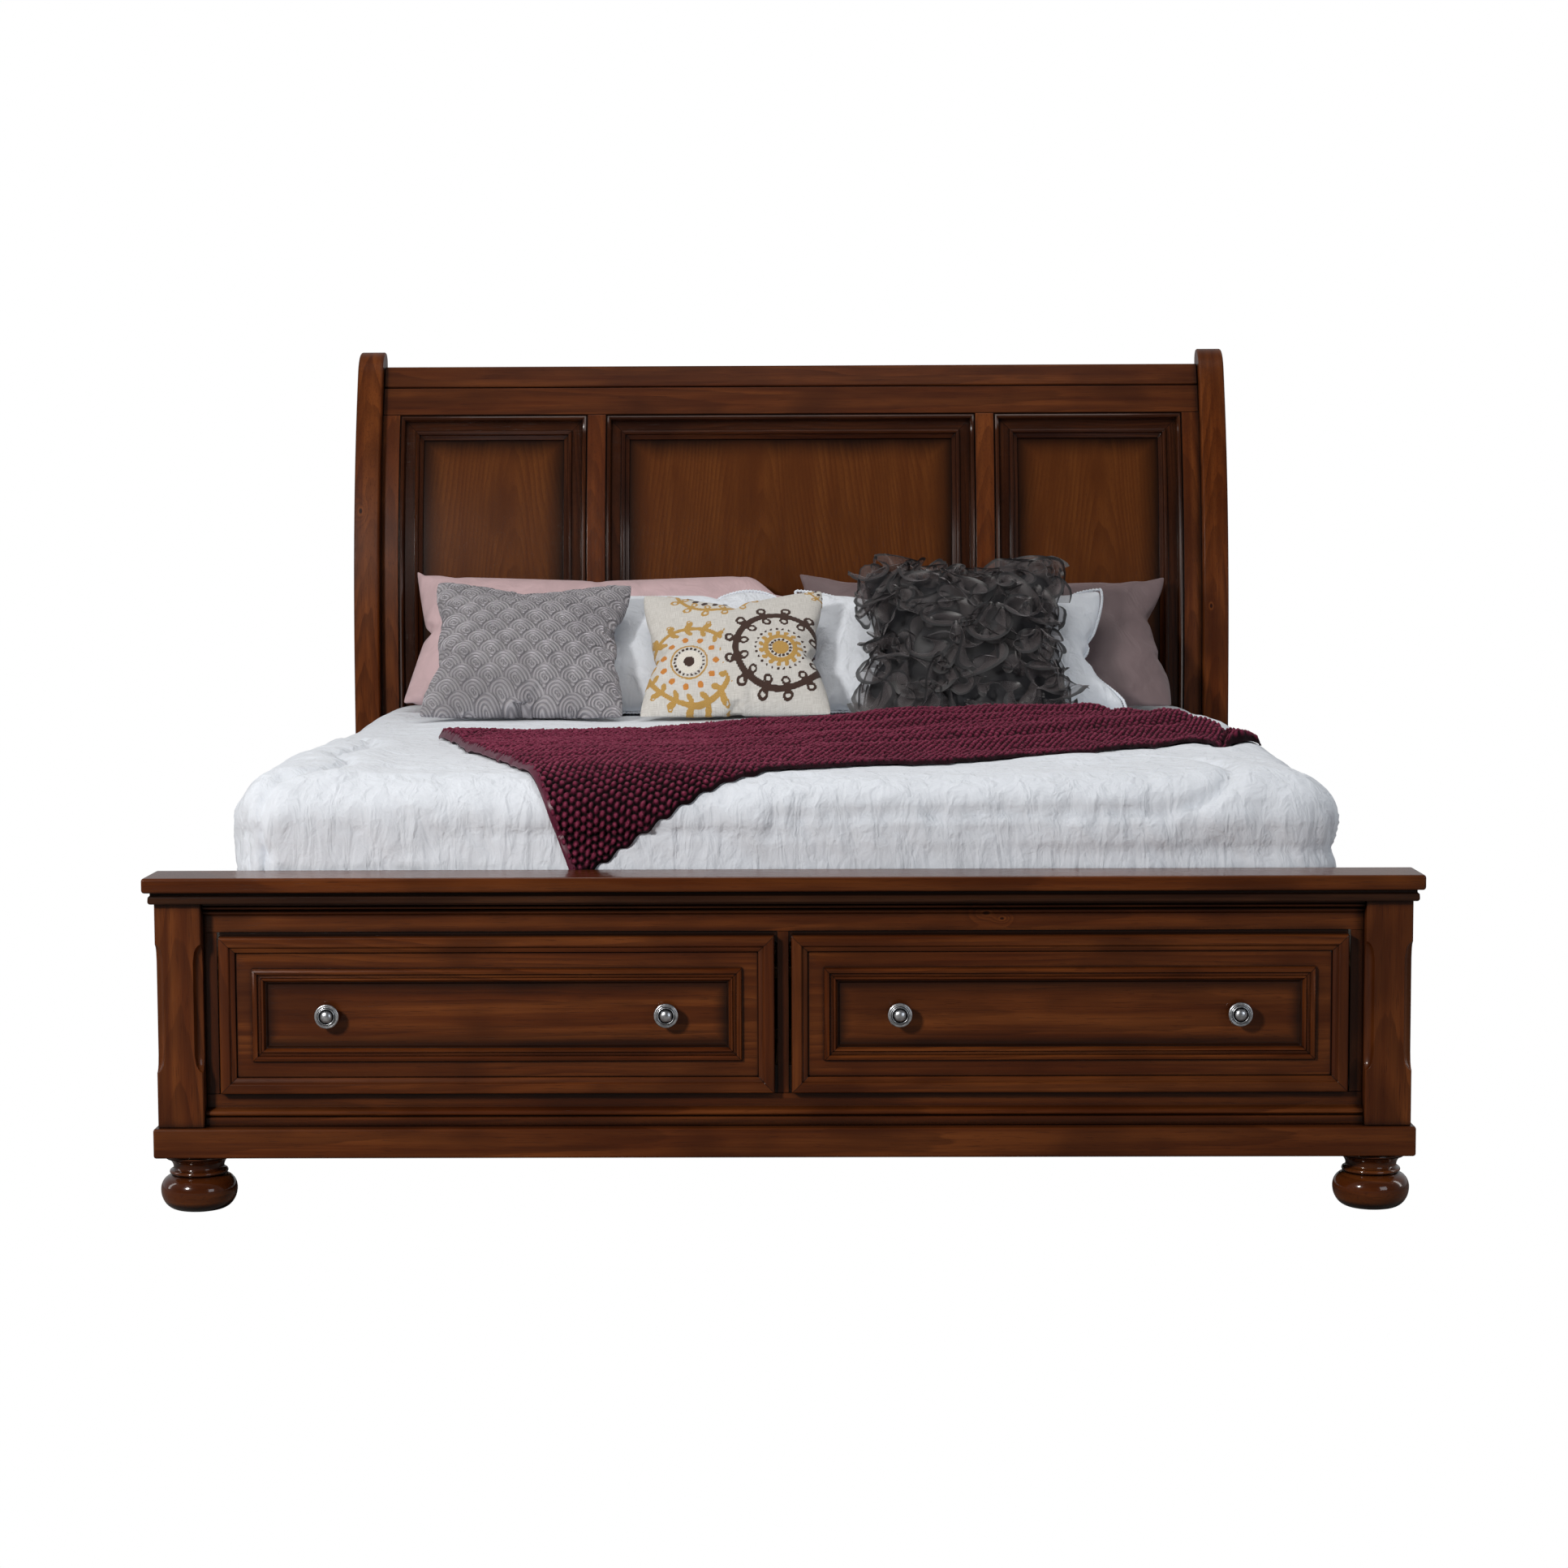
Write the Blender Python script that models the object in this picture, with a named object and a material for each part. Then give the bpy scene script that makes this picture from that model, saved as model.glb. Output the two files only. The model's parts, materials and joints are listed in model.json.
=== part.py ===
"""King-size panel sleigh bed with two drawers in the footboard, modelled in metres.

+Z is up and the foot of the bed faces -Y. The origin lies on the floor, under the middle of the
bed's overall length and width. Every sub-part is one closed object; the two drawers slide along -Y.
"""
import math

import bmesh
import bpy
from mathutils import Vector

# ---------------------------------------------------------------- driving dimensions
GAP = 0.0003                      # clearance between pieces that touch

MATTRESS_WIDTH = 1.930
MATTRESS_LENGTH = 2.030
MATTRESS_THICKNESS = 0.300
MATTRESS_END_CLEARANCE = 0.025    # mattress to the back of the footboard cap
MATTRESS_HEAD_CLEARANCE = 0.009   # mattress to the face of the headboard frame
MATTRESS_SIDE_CLEARANCE = 0.005   # mattress to the headboard posts

HEADBOARD_HEIGHT = 1.579
HEAD_POST_WIDTH = 0.059
HEAD_POST_DEPTH = 0.085
CURVE_START_Z = 0.756             # below this the headboard stands plumb
CURVE_POWER = 2.4
SLEIGH_LEAN = 0.132               # how far the post has leant back where its scroll starts
SCROLL_RISE = 0.049               # height of the rounded scroll at the top of a post
CURVE_STEP = 0.060                # spacing of the cuts that let a flat piece follow the curve
HEAD_POST_ROUNDING = 0.003

HEAD_FRAME_SETBACK = 0.032        # stiles, muntins and rails behind the posts' faces
HEAD_FRAME_THICKNESS = 0.030
CREST_SETBACK = 0.030
CREST_THICKNESS = 0.044
CREST_DROP = 0.024                # crest rail's top below the posts' tops
CREST_HEIGHT = 0.052
CREST_REVEAL = 0.0015             # dark line between the crest rail and the upper rail
CREST_ROUNDING = 0.003
UPPER_RAIL_ROUNDING = 0.0015
UPPER_RAIL_HEIGHT = 0.066
LOWER_RAIL_Z = 0.300
LOWER_RAIL_HEIGHT = 0.320
STILE_WIDTH = 0.041
MUNTIN_WIDTH = 0.043
MUNTIN_CENTRE_X = 0.4605
PANEL_SETBACK = 0.051
PANEL_THICKNESS = 0.008
PANEL_MOULDING_WIDTH = 0.057
# sections are lists of (inset, depth) behind the face they belong to, in metres
MOULDING_OUTER_BEAD = ((0.0075, 0.004), (0.0055, 0.006))      # centre and radii
MOULDING_FLAT = (0.0150, 0.010)
MOULDING_INNER_BEAD = ((0.015, 0.010), (0.0055, 0.008))       # centre measured from the inner edge
MOULDING_LIP = ((0.006, 0.012), (0.001, 0.015))               # measured from the inner edge

FOOTBOARD_HEIGHT = 0.5776
FOOT_POST_WIDTH = 0.0785
FOOT_POST_DEPTH = 0.078
FOOT_POST_OFFSET = 0.020          # inner face of a foot post outside the mattress edge
COVE_RADIUS = 0.014               # stopped coves on the foot posts' front edges
COVE_BOTTOM_Z = 0.243
COVE_TOP_Z = 0.462
COVE_RUNOUT = 0.030
COVE_LEAST = 0.0015               # eased edge of the post above and below the coves
COVE_SHARES = (0.0, 0.06, 0.20, 0.45, 1.0)                    # levels along a run-out
CAP_OVERHANG = 0.025              # cap in front of the foot posts
CAP_SIDE_OVERHANG = 0.0165
CAP_DEPTH = 0.125
CAP_THICKNESS = 0.026
CAP_ROUNDING = 0.005
CAP_MOULDING_HEIGHT = 0.0195
CAP_MOULDING_OVERHANG = 0.0075
CAP_MOULDING_BACK = 0.008         # moulding's back in front of the cap's back
CAP_MOULDING_FILLET = ((0.0035, 0.0), (0.0035, 0.0045), (0.0005, 0.0070))     # (inset, below the cap)
CAP_MOULDING_ROUND = (0.004, 0.005)
PLINTH_OVERHANG = 0.007
PLINTH_FRONT = 0.012              # plinth in front of the foot posts
PLINTH_HEIGHT = 0.051
PLINTH_ROUNDING = 0.004
FOOT_HEIGHT = 0.097
FOOT_RADIUS = 0.065
FOOT_TOP_RADIUS = 0.058
FOOT_PAD_RADIUS = 0.033
BUN_MIDDLE_Z = 0.034
BUN_SHOULDER_RADIUS = 0.0445
BUN_SHOULDER_RISE = 0.0245
FOOT_RING = ((0.0440, 0.0650), (0.0055, 0.0045))              # centre and radii of the ring bead
FOOT_NECK_RADIUS = 0.0430
FOOT_FLARE = (0.0725, 0.0165)     # height where the flare starts, and its rise
FOOT_TOP_BAND = 0.005
RAIL_SETBACK = 0.029              # footboard rails behind the posts' faces
RAIL_BACK = 0.095                 # back of the footboard rails, from the posts' faces
TOP_RAIL_HEIGHT = 0.0527
# the rail's two beads step forward under the cap: (in front of its face, below its top)
TOP_RAIL_FACE_TOP = 0.0240
TOP_RAIL_BEADS = (((0.004, 0.0175), (0.004, 0.0040)), ((0.012, 0.0085), (0.004, 0.0035)))
TOP_RAIL_STEP = (0.008, 0.0125)
TOP_RAIL_CROWN = (0.018, 0.0045)
SILL_HEIGHT = 0.053
# the sill's lower flat and bead: (in front of its face, above its underside)
SILL_FLAT = (0.015, 0.014)
SILL_BEAD = ((0.009, 0.0215), (0.006, 0.0055))
SILL_FILLET = ((0.004, 0.0285), (0.0, 0.0300))

CASE_SIDE_THICKNESS = 0.0217
PARTITION_THICKNESS = 0.0194
CASE_DEPTH = 0.530                # back of the drawer case, from the posts' faces
CASE_BACK_THICKNESS = 0.016
CASE_LEG_LENGTH = 0.060
CASE_FLOOR_Z = 0.150
CASE_FRONT_SETBACK = 0.001        # stiles behind the footboard rails' faces

DRAWER_FRONT_SIDE_GAP = 0.0048
DRAWER_FRONT_LOW_GAP = 0.0025
DRAWER_FRONT_TOP_GAP = 0.0065
DRAWER_FRONT_SETBACK = 0.009
DRAWER_FRONT_THICKNESS = 0.022
DRAWER_FRAME_WIDTH = 0.018        # raised mitred frame around the drawer front
DRAWER_FIELD_INSET = 0.030
DRAWER_FIELD_DEPTH = 0.011        # behind the face of the raised frame
DRAWER_PANEL_DEPTH = 0.015
DRAWER_PANEL_BEVEL = 0.003
DRAWER_FRAME_EDGE = ((0.0, 0.004), (0.0012, 0.0012), (0.004, 0.0))      # (inset, depth)
DRAWER_FRAME_INNER = ((-0.002, 0.0), (0.0, 0.0015), (0.001, 0.004))     # (from the frame's inner edge, depth)
DRAWER_OGEE = ((0.0, 0.0055), (0.008, 0.0045))                # centre and radii
DRAWER_OGEE_START = (0.010, 0.004)                            # before the field, behind the face
DRAWER_BEAD_OUTER = 0.055
DRAWER_BEAD_INNER = 0.082
DRAWER_BEAD_GAP = 0.004           # bead frame's inner edge to the sunken panel
DRAWER_BEAD_BASE = 0.003
DRAWER_BEAD_ROUND = (0.0055, 0.0050)                          # place and radius of the outer bead
DRAWER_BEAD_FLAT = (0.0125, 0.008, 0.0005)                    # start, end from the inner edge, slope
DRAWER_BEAD_SMALL = (0.005, (0.0030, 0.0025))                 # place from the inner edge, radii
DRAWER_BOX_SIDE_GAP = 0.006
DRAWER_BOX_WALL = 0.015
DRAWER_BOX_BOTTOM = 0.009
DRAWER_BOX_HEIGHT = 0.150
DRAWER_BOX_LENGTH = 0.455
DRAWER_BOX_Z = 0.216
GROOVE_DEPTH = 0.0065
GROOVE_CLEARANCE = 0.0008
RUNNER_HEIGHT = 0.018
RUNNER_LENGTH = 0.400
RUNNER_SETBACK = 0.005            # runners behind the footboard rails
KNOB_SPACING = 0.576
KNOB_RADIUS = 0.021
KNOB_PROJECTION = 0.031
KNOB_BASE = ((0.0100, 0.0), (0.0100, 0.003), (0.0060, 0.006), (0.0060, 0.012))    # (radius, projection)
KNOB_BACK = (0.008, 0.0165)       # inside the rim, and its projection
KNOB_RIM = ((0.0020, 0.0105), 0.0020)                         # (inside the rim, below the crown), radius
KNOB_RINGS = ((0.0045, 0.0090), (0.0065, 0.0060), (0.0085, 0.0060), (0.0100, 0.0045))
KNOB_DOME = (0.0110, 0.0045)      # inside the rim, and the dome's height

SIDE_RAIL_THICKNESS = 0.025
SIDE_RAIL_HEIGHT = 0.240
SIDE_RAIL_Z = 0.200
SIDE_RAIL_ROUNDING = 0.003
SIDE_RAIL_OFFSET = 0.023          # inner face of a side rail outside the mattress edge
SLAT_TOP_Z = 0.405
SLAT_THICKNESS = 0.018
SLAT_WIDTH = 0.072
SLAT_COUNT = 14
SLAT_SIDE_CLEARANCE = 0.004
SLAT_FOOT_SETBACK = 0.010         # first slat behind the footboard rails
SLAT_HEAD_CLEARANCE = 0.012
WEBBING_WIDTH = 0.030
WEBBING_THICKNESS = 0.002
WEBBING_X = 0.500
WEBBING_MARGIN = 0.010
WEBBING_RECESS = 0.0002           # below the slats' upper faces
LEDGER_WIDTH = 0.030
LEDGER_HEIGHT = 0.027
DECK_HEAD_CLEARANCE = 0.010       # ledgers and beam to the headboard posts
BEAM_WIDTH = 0.044
BEAM_HEIGHT = 0.070
LEG_SIZE = 0.042
LEG_PAD_RADIUS = 0.016
LEG_PAD_HEIGHT = 0.018
LEG_PAD_SIDES = 16
LEG_PAD_OVERLAP = 0.002
MATTRESS_ROUNDING = 0.035

COMFORTER_THICKNESS = 0.037
COMFORTER_SKIRT = 0.018
COMFORTER_CLEARANCE = 0.004
COMFORTER_HEM_Z = 0.480
COMFORTER_ROUNDING = 0.030
COMFORTER_HEAD_CLEARANCE = 0.012
THROW_THICKNESS = 0.014
# throw's outline in plan, each point as (from a side of the mattress, from the comforter's front)
THROW_LEFT_EDGE = ((0.281, 0.800), (0.336, 0.395), (0.520, 0.0), (1.110, 0.0))
THROW_RIGHT_EDGE = ((0.347, 0.270), (0.067, 0.330), (0.067, 0.600), (0.271, 1.370))
THROW_FAR_EDGE = ((1.185, 1.270), (0.847, 1.100))
THROW_TIP_X = 0.585               # from the mattress's left side
THROW_TIP_HALF_WIDTH = 0.006
THROW_TIP_CLEARANCE = 0.004       # above the cap
THROW_FLAP_INSET = 0.002
THROW_FLAP_DROP = (0.020, 0.004)  # below the throw at the flap's left and right edges
THROW_FLAP_GAP = 0.0008
PILLOW_TILT = math.radians(44.0)  # from the vertical
PILLOW_GAP = 0.002
PILLOW_HEAD_CLEARANCE = 0.012
PILLOW_PINCH = 0.03               # share by which the middles of its edges are drawn in
PILLOW_MIDDLE_GAP = 0.004         # half the gap between the left and right pillows
PILLOW_CELLS = (8, 6)
SHAM_SIZE = (0.890, 0.420, 0.110)
PILLOW_SIZE = (0.770, 0.370, 0.110)
QUILTED_SIZE = (0.445, 0.400, 0.110)
EMBROIDERED_SIZE = (0.418, 0.370, 0.110)
RUFFLED_SIZE = (0.490, 0.450, 0.150)
CUSHION_ROW_START = 0.163         # left cushion's edge, from the mattress edge
CUSHION_SPACES = (0.026, 0.052)   # between the cushions

TURNING_SIDES = 20
KNOB_SIDES = 12


# ---------------------------------------------------------------- values that follow
def scroll_angle():
    """Angle of the post from the vertical where its scroll starts."""
    return math.atan(SLEIGH_LEAN * CURVE_POWER / (SCROLL_START_Z - CURVE_START_Z))


SCROLL_START_Z = HEADBOARD_HEIGHT - SCROLL_RISE
SCROLL_ANGLE = scroll_angle()
SCROLL_FRONT_RADIUS = SCROLL_RISE / (1.0 - math.sin(SCROLL_ANGLE))
SCROLL_BACK_RADIUS = (HEAD_POST_DEPTH - SCROLL_RISE) / (1.0 + math.sin(SCROLL_ANGLE))
SCROLL_TOP = SLEIGH_LEAN + SCROLL_FRONT_RADIUS * math.cos(SCROLL_ANGLE)

MATTRESS_FOOT = CAP_DEPTH - CAP_OVERHANG + MATTRESS_END_CLEARANCE
MATTRESS_HEAD = MATTRESS_FOOT + MATTRESS_LENGTH
HEAD_FACE = MATTRESS_HEAD + MATTRESS_HEAD_CLEARANCE - HEAD_FRAME_SETBACK
OVERALL_BACK = HEAD_FACE + SCROLL_TOP + SCROLL_BACK_RADIUS
FOOT_FACE_Y = (CAP_OVERHANG - OVERALL_BACK) / 2     # front faces of the foot posts
HEAD_FACE_Y = FOOT_FACE_Y + HEAD_FACE               # front faces of the headboard posts

HALF_MATTRESS = MATTRESS_WIDTH / 2
HEAD_POST_INNER = HALF_MATTRESS + MATTRESS_SIDE_CLEARANCE
FOOT_POST_INNER = HALF_MATTRESS + FOOT_POST_OFFSET
FOOT_POST_OUTER = FOOT_POST_INNER + FOOT_POST_WIDTH
CAP_HALF = FOOT_POST_OUTER + CAP_SIDE_OVERHANG
PLINTH_HALF = FOOT_POST_OUTER + PLINTH_OVERHANG
PLINTH_TOP = FOOT_HEIGHT + PLINTH_HEIGHT
CAP_BOTTOM = FOOTBOARD_HEIGHT - CAP_THICKNESS
CAP_MOULDING_BOTTOM = CAP_BOTTOM - CAP_MOULDING_HEIGHT
SILL_TOP = PLINTH_TOP + SILL_HEIGHT
TOP_RAIL_BOTTOM = CAP_MOULDING_BOTTOM - TOP_RAIL_HEIGHT
SLAT_BOTTOM = SLAT_TOP_Z - SLAT_THICKNESS
DECK_Z = SLAT_BOTTOM - GAP
OPENING_OUTER = FOOT_POST_INNER - GAP - CASE_SIDE_THICKNESS
OPENING_INNER = PARTITION_THICKNESS / 2
DRAWER_FRONT_LOW = SILL_TOP + DRAWER_FRONT_LOW_GAP
DRAWER_FRONT_TOP = TOP_RAIL_BOTTOM - DRAWER_FRONT_TOP_GAP
DRAWER_FRONT_BACK = DRAWER_FRONT_SETBACK + DRAWER_FRONT_THICKNESS
MATTRESS_TOP = SLAT_TOP_Z + GAP + MATTRESS_THICKNESS
COMFORTER_TOP = MATTRESS_TOP + GAP * 10 + COMFORTER_THICKNESS
CREST_TOP = HEADBOARD_HEIGHT - CREST_DROP
CREST_BOTTOM = CREST_TOP - CREST_HEIGHT
UPPER_RAIL_BOTTOM = CREST_BOTTOM - UPPER_RAIL_HEIGHT
LOWER_RAIL_TOP = LOWER_RAIL_Z + LOWER_RAIL_HEIGHT
STILE_INNER = HEAD_POST_INNER - GAP - STILE_WIDTH

MATERIALS = {
    "cherry_wood": ((0.085, 0.026, 0.011), 0.30, 0.0),
    "cherry_panel": ((0.150, 0.052, 0.018), 0.32, 0.0),
    "dark_moulding": ((0.040, 0.014, 0.008), 0.25, 0.0),
    "drawer_birch": ((0.560, 0.400, 0.240), 0.55, 0.0),
    "pine_slat": ((0.620, 0.450, 0.270), 0.65, 0.0),
    "pewter": ((0.320, 0.320, 0.330), 0.35, 1.0),
    "ticking": ((0.780, 0.770, 0.740), 0.85, 0.0),
    "white_cotton": ((0.800, 0.820, 0.860), 0.85, 0.0),
    "mauve_sateen": ((0.330, 0.230, 0.240), 0.60, 0.0),
    "grey_velvet": ((0.200, 0.185, 0.200), 0.70, 0.0),
    "cream_linen": ((0.640, 0.600, 0.520), 0.85, 0.0),
    "charcoal_organza": ((0.030, 0.030, 0.034), 0.45, 0.0),
    "burgundy_plush": ((0.090, 0.012, 0.028), 0.80, 0.0),
}


# ---------------------------------------------------------------- shape tools
def clear_scene():
    for thing in list(bpy.data.objects):
        bpy.data.objects.remove(thing, do_unlink=True)


def material(name):
    """The named Principled material, made the first time it is asked for."""
    found = bpy.data.materials.get(name)
    if found:
        return found
    colour, roughness, metallic = MATERIALS[name]
    made = bpy.data.materials.new(name)
    made.use_nodes = True
    shader = made.node_tree.nodes["Principled BSDF"]
    shader.inputs["Base Color"].default_value = (*colour, 1.0)
    shader.inputs["Roughness"].default_value = roughness
    shader.inputs["Metallic"].default_value = metallic
    made.diffuse_color = (*colour, 1.0)
    return made


def add_object(name, bm, material_name):
    """Turn a bmesh into an object of the scene, with its faces pointing out."""
    bmesh.ops.recalc_face_normals(bm, faces=bm.faces[:])
    if bm.calc_volume(signed=True) < 0:
        bmesh.ops.reverse_faces(bm, faces=bm.faces[:])
    mesh = bpy.data.meshes.new(name)
    bm.to_mesh(mesh)
    bm.free()
    thing = bpy.data.objects.new(name, mesh)
    bpy.context.scene.collection.objects.link(thing)
    if material_name:
        mesh.materials.append(material(material_name))
    return thing


def bevel(thing, width, segments=2, angle=30.0):
    """Round the edges of an object with a Bevel modifier."""
    modifier = thing.modifiers.new("edge", "BEVEL")
    modifier.width = width
    modifier.segments = segments
    modifier.limit_method = "ANGLE"
    modifier.angle_limit = math.radians(angle)
    return thing


def smooth(thing, angle=40.0):
    thing.data.shade_smooth()
    thing.data.set_sharp_from_angle(angle=math.radians(angle))
    return thing


def add_box(bm, low, high):
    """Add a box between two opposite corners to a bmesh."""
    corners = [bm.verts.new((x, y, z)) for x in (low[0], high[0])
               for y in (low[1], high[1]) for z in (low[2], high[2])]
    for face in ((0, 1, 3, 2), (4, 6, 7, 5), (0, 4, 5, 1), (2, 3, 7, 6), (0, 2, 6, 4), (1, 5, 7, 3)):
        bm.faces.new([corners[i] for i in face])


def box(name, low, high, material_name):
    bm = bmesh.new()
    add_box(bm, low, high)
    return add_object(name, bm, material_name)


def side_span(side, inner, outer):
    """The lowest and highest X of a piece between two distances from the middle plane."""
    return sorted((side * inner, side * outer))


def side_name(side):
    return "left" if side < 0 else "right"


def cut_boxes(thing, spans):
    """Subtract boxes from an object with one Boolean and a hidden cutter."""
    bm = bmesh.new()
    for low, high in spans:
        add_box(bm, low, high)
    cutter = add_object(thing.name + "_cutter", bm, None)
    cutter.hide_render = True
    cutter.display_type = "WIRE"
    modifier = thing.modifiers.new("cut", "BOOLEAN")
    modifier.operation = "DIFFERENCE"
    modifier.object = cutter
    return thing


def loft(bm, loops, closed=False):
    """Join loops of points, each to the next, and cap the ends or close the ring."""
    rings = [[bm.verts.new(point) for point in loop] for loop in loops]
    pairs = list(zip(rings, rings[1:]))
    if closed:
        pairs.append((rings[-1], rings[0]))
    for first, second in pairs:
        for i in range(len(first)):
            j = (i + 1) % len(first)
            bm.faces.new((first[i], first[j], second[j], second[i]))
    if not closed:
        bm.faces.new(rings[0])
        bm.faces.new(reversed(rings[-1]))


def extruded(name, outline, x_span, material_name):
    """Extrude a closed outline of (y, z) points along X."""
    bm = bmesh.new()
    loft(bm, [[(x, y, z) for y, z in outline] for x in x_span])
    return add_object(name, bm, material_name)


def framed(bm, span, profile, closed):
    """Loft mitred rectangles in the XZ plane; profile gives (inset, y) for each one.

    span is (x low, x high, z low, z high) at inset 0.
    """
    x0, x1, z0, z1 = span
    loops = [[(x0 + inset, y, z0 + inset), (x1 - inset, y, z0 + inset),
              (x1 - inset, y, z1 - inset), (x0 + inset, y, z1 - inset)] for inset, y in profile]
    loft(bm, loops, closed)


def arc(centre, radii, start, end, steps):
    """Points of an elliptical arc, angles in degrees from the first axis."""
    angles = [math.radians(start + (end - start) * i / steps) for i in range(steps + 1)]
    return [(centre[0] + radii[0] * math.cos(a), centre[1] + radii[1] * math.sin(a)) for a in angles]


def turned(name, profile, place, material_name, sides):
    """Turn a profile of (radius, height) points; place maps (across, across, height) to space."""
    bm = bmesh.new()
    turns = [2 * math.pi * i / sides for i in range(sides)]
    loft(bm, [[place(r * math.cos(a), r * math.sin(a), h) for a in turns] for r, h in profile])
    return smooth(add_object(name, bm, material_name))


# ---------------------------------------------------------------- headboard
def sleigh_point(depth, z):
    """(y, z) of a point behind the posts' front faces, square to the sleigh curve."""
    span = SCROLL_START_Z - CURVE_START_Z
    rise = max((z - CURVE_START_Z) / span, 0.0)
    lean = SLEIGH_LEAN * rise ** CURVE_POWER
    angle = math.atan(SLEIGH_LEAN * CURVE_POWER * rise ** (CURVE_POWER - 1) / span)
    return HEAD_FACE_Y + lean + depth * math.cos(angle), z - depth * math.sin(angle)


def curve_levels(low, high):
    """Heights between two heights at which every headboard piece is cut."""
    first = math.floor(low / CURVE_STEP) + 1
    last = math.ceil(high / CURVE_STEP)
    return [i * CURVE_STEP for i in range(first, last)]


def bent_point(depth, z):
    """sleigh_point along straight chords between the cut levels, the same for every piece."""
    level = math.floor(z / CURVE_STEP + 1e-6)
    share = z / CURVE_STEP - level
    low = Vector(sleigh_point(depth, level * CURVE_STEP))
    high = Vector(sleigh_point(depth, (level + 1) * CURVE_STEP))
    return tuple(low.lerp(high, share))


def bend(bm):
    """Bend a flat piece, drawn as (x, depth, height), along the sleigh curve."""
    heights = [v.co.z for v in bm.verts]
    for level in curve_levels(min(heights), max(heights)):
        geometry = bm.verts[:] + bm.edges[:] + bm.faces[:]
        bmesh.ops.bisect_plane(bm, geom=geometry, dist=1e-6, plane_co=(0, 0, level), plane_no=(0, 0, 1))
    for vertex in bm.verts:
        vertex.co.y, vertex.co.z = bent_point(vertex.co.y, vertex.co.z)


def bent_box(name, x_span, depths, heights, material_name):
    bm = bmesh.new()
    add_box(bm, (x_span[0], depths[0], heights[0]), (x_span[1], depths[1], heights[1]))
    bend(bm)
    return add_object(name, bm, material_name)


def head_post_outline():
    """Side outline of a post: the sleigh curve in front, a scroll on top, the offset curve behind."""
    levels = [0.0] + [z for z in curve_levels(0.0, SCROLL_START_Z) if z > CURVE_START_Z - CURVE_STEP]
    levels.append(SCROLL_START_Z)
    front = [sleigh_point(0.0, z) for z in levels]
    back = [sleigh_point(HEAD_POST_DEPTH, z) for z in levels]
    back[0] = (back[0][0], 0.0)
    top_y = HEAD_FACE_Y + SCROLL_TOP
    angle = math.degrees(SCROLL_ANGLE)
    rounded_front = arc((top_y, HEADBOARD_HEIGHT - SCROLL_FRONT_RADIUS),
                        (SCROLL_FRONT_RADIUS, SCROLL_FRONT_RADIUS), 180 - angle, 90, 6)
    rounded_back = arc((top_y, HEADBOARD_HEIGHT - SCROLL_BACK_RADIUS),
                       (SCROLL_BACK_RADIUS, SCROLL_BACK_RADIUS), 90, -angle, 6)
    return front + rounded_front[1:] + rounded_back[1:] + back[::-1]


def headboard_posts():
    outline = head_post_outline()
    for side in (-1, 1):
        span = side_span(side, HEAD_POST_INNER, HEAD_POST_INNER + HEAD_POST_WIDTH)
        post = extruded("headboard_post_" + side_name(side), outline, span, "cherry_wood")
        bevel(post, HEAD_POST_ROUNDING, segments=1, angle=60.0)


def headboard_rails():
    half = HEAD_POST_INNER - GAP
    frame_depths = (HEAD_FRAME_SETBACK, HEAD_FRAME_SETBACK + HEAD_FRAME_THICKNESS)
    crest_depths = (CREST_SETBACK, CREST_SETBACK + CREST_THICKNESS)
    crest = bent_box("headboard_crest_rail", (-half, half), crest_depths,
                     (CREST_BOTTOM + CREST_REVEAL, CREST_TOP), "cherry_wood")
    bevel(crest, CREST_ROUNDING, segments=2, angle=50.0)
    upper = bent_box("headboard_upper_rail", (-half, half), frame_depths,
                     (UPPER_RAIL_BOTTOM, CREST_BOTTOM), "cherry_wood")
    bevel(upper, UPPER_RAIL_ROUNDING, segments=1, angle=50.0)
    bent_box("headboard_lower_rail", (-half, half), frame_depths,
             (LOWER_RAIL_Z, LOWER_RAIL_TOP), "cherry_wood")


def headboard_uprights():
    depths = (HEAD_FRAME_SETBACK, HEAD_FRAME_SETBACK + HEAD_FRAME_THICKNESS)
    heights = (LOWER_RAIL_TOP + GAP, UPPER_RAIL_BOTTOM - GAP)
    for side in (-1, 1):
        stile = side_span(side, STILE_INNER, STILE_INNER + STILE_WIDTH)
        muntin = side_span(side, MUNTIN_CENTRE_X - MUNTIN_WIDTH / 2, MUNTIN_CENTRE_X + MUNTIN_WIDTH / 2)
        bent_box("headboard_stile_" + side_name(side), stile, depths, heights, "cherry_wood")
        bent_box("headboard_muntin_" + side_name(side), muntin, depths, heights, "cherry_wood")


def panel_spans():
    """X range of each opening between the stiles and muntins."""
    near = MUNTIN_CENTRE_X - MUNTIN_WIDTH / 2 - GAP
    far = MUNTIN_CENTRE_X + MUNTIN_WIDTH / 2 + GAP
    edge = STILE_INNER - GAP
    return {"left": (-edge, -far), "centre": (-near, near), "right": (far, edge)}


def panel_moulding_profile():
    """Section of the applied moulding: bead, flat field and inner bead, down to the panel."""
    seat = PANEL_SETBACK - GAP
    face = HEAD_FRAME_SETBACK
    width = PANEL_MOULDING_WIDTH
    (x, depth), radii = MOULDING_OUTER_BEAD
    section = [(0.0, seat), (0.0, face + depth)] + arc((x, face + depth), radii, 180, 360, 4)
    section.append((MOULDING_FLAT[0], face + MOULDING_FLAT[1]))
    (x, depth), radii = MOULDING_INNER_BEAD
    section += arc((width - x, face + depth), radii, 180, 360, 4)
    section += [(width - x, face + depth) for x, depth in MOULDING_LIP]
    section.append((width, seat))
    return section


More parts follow.
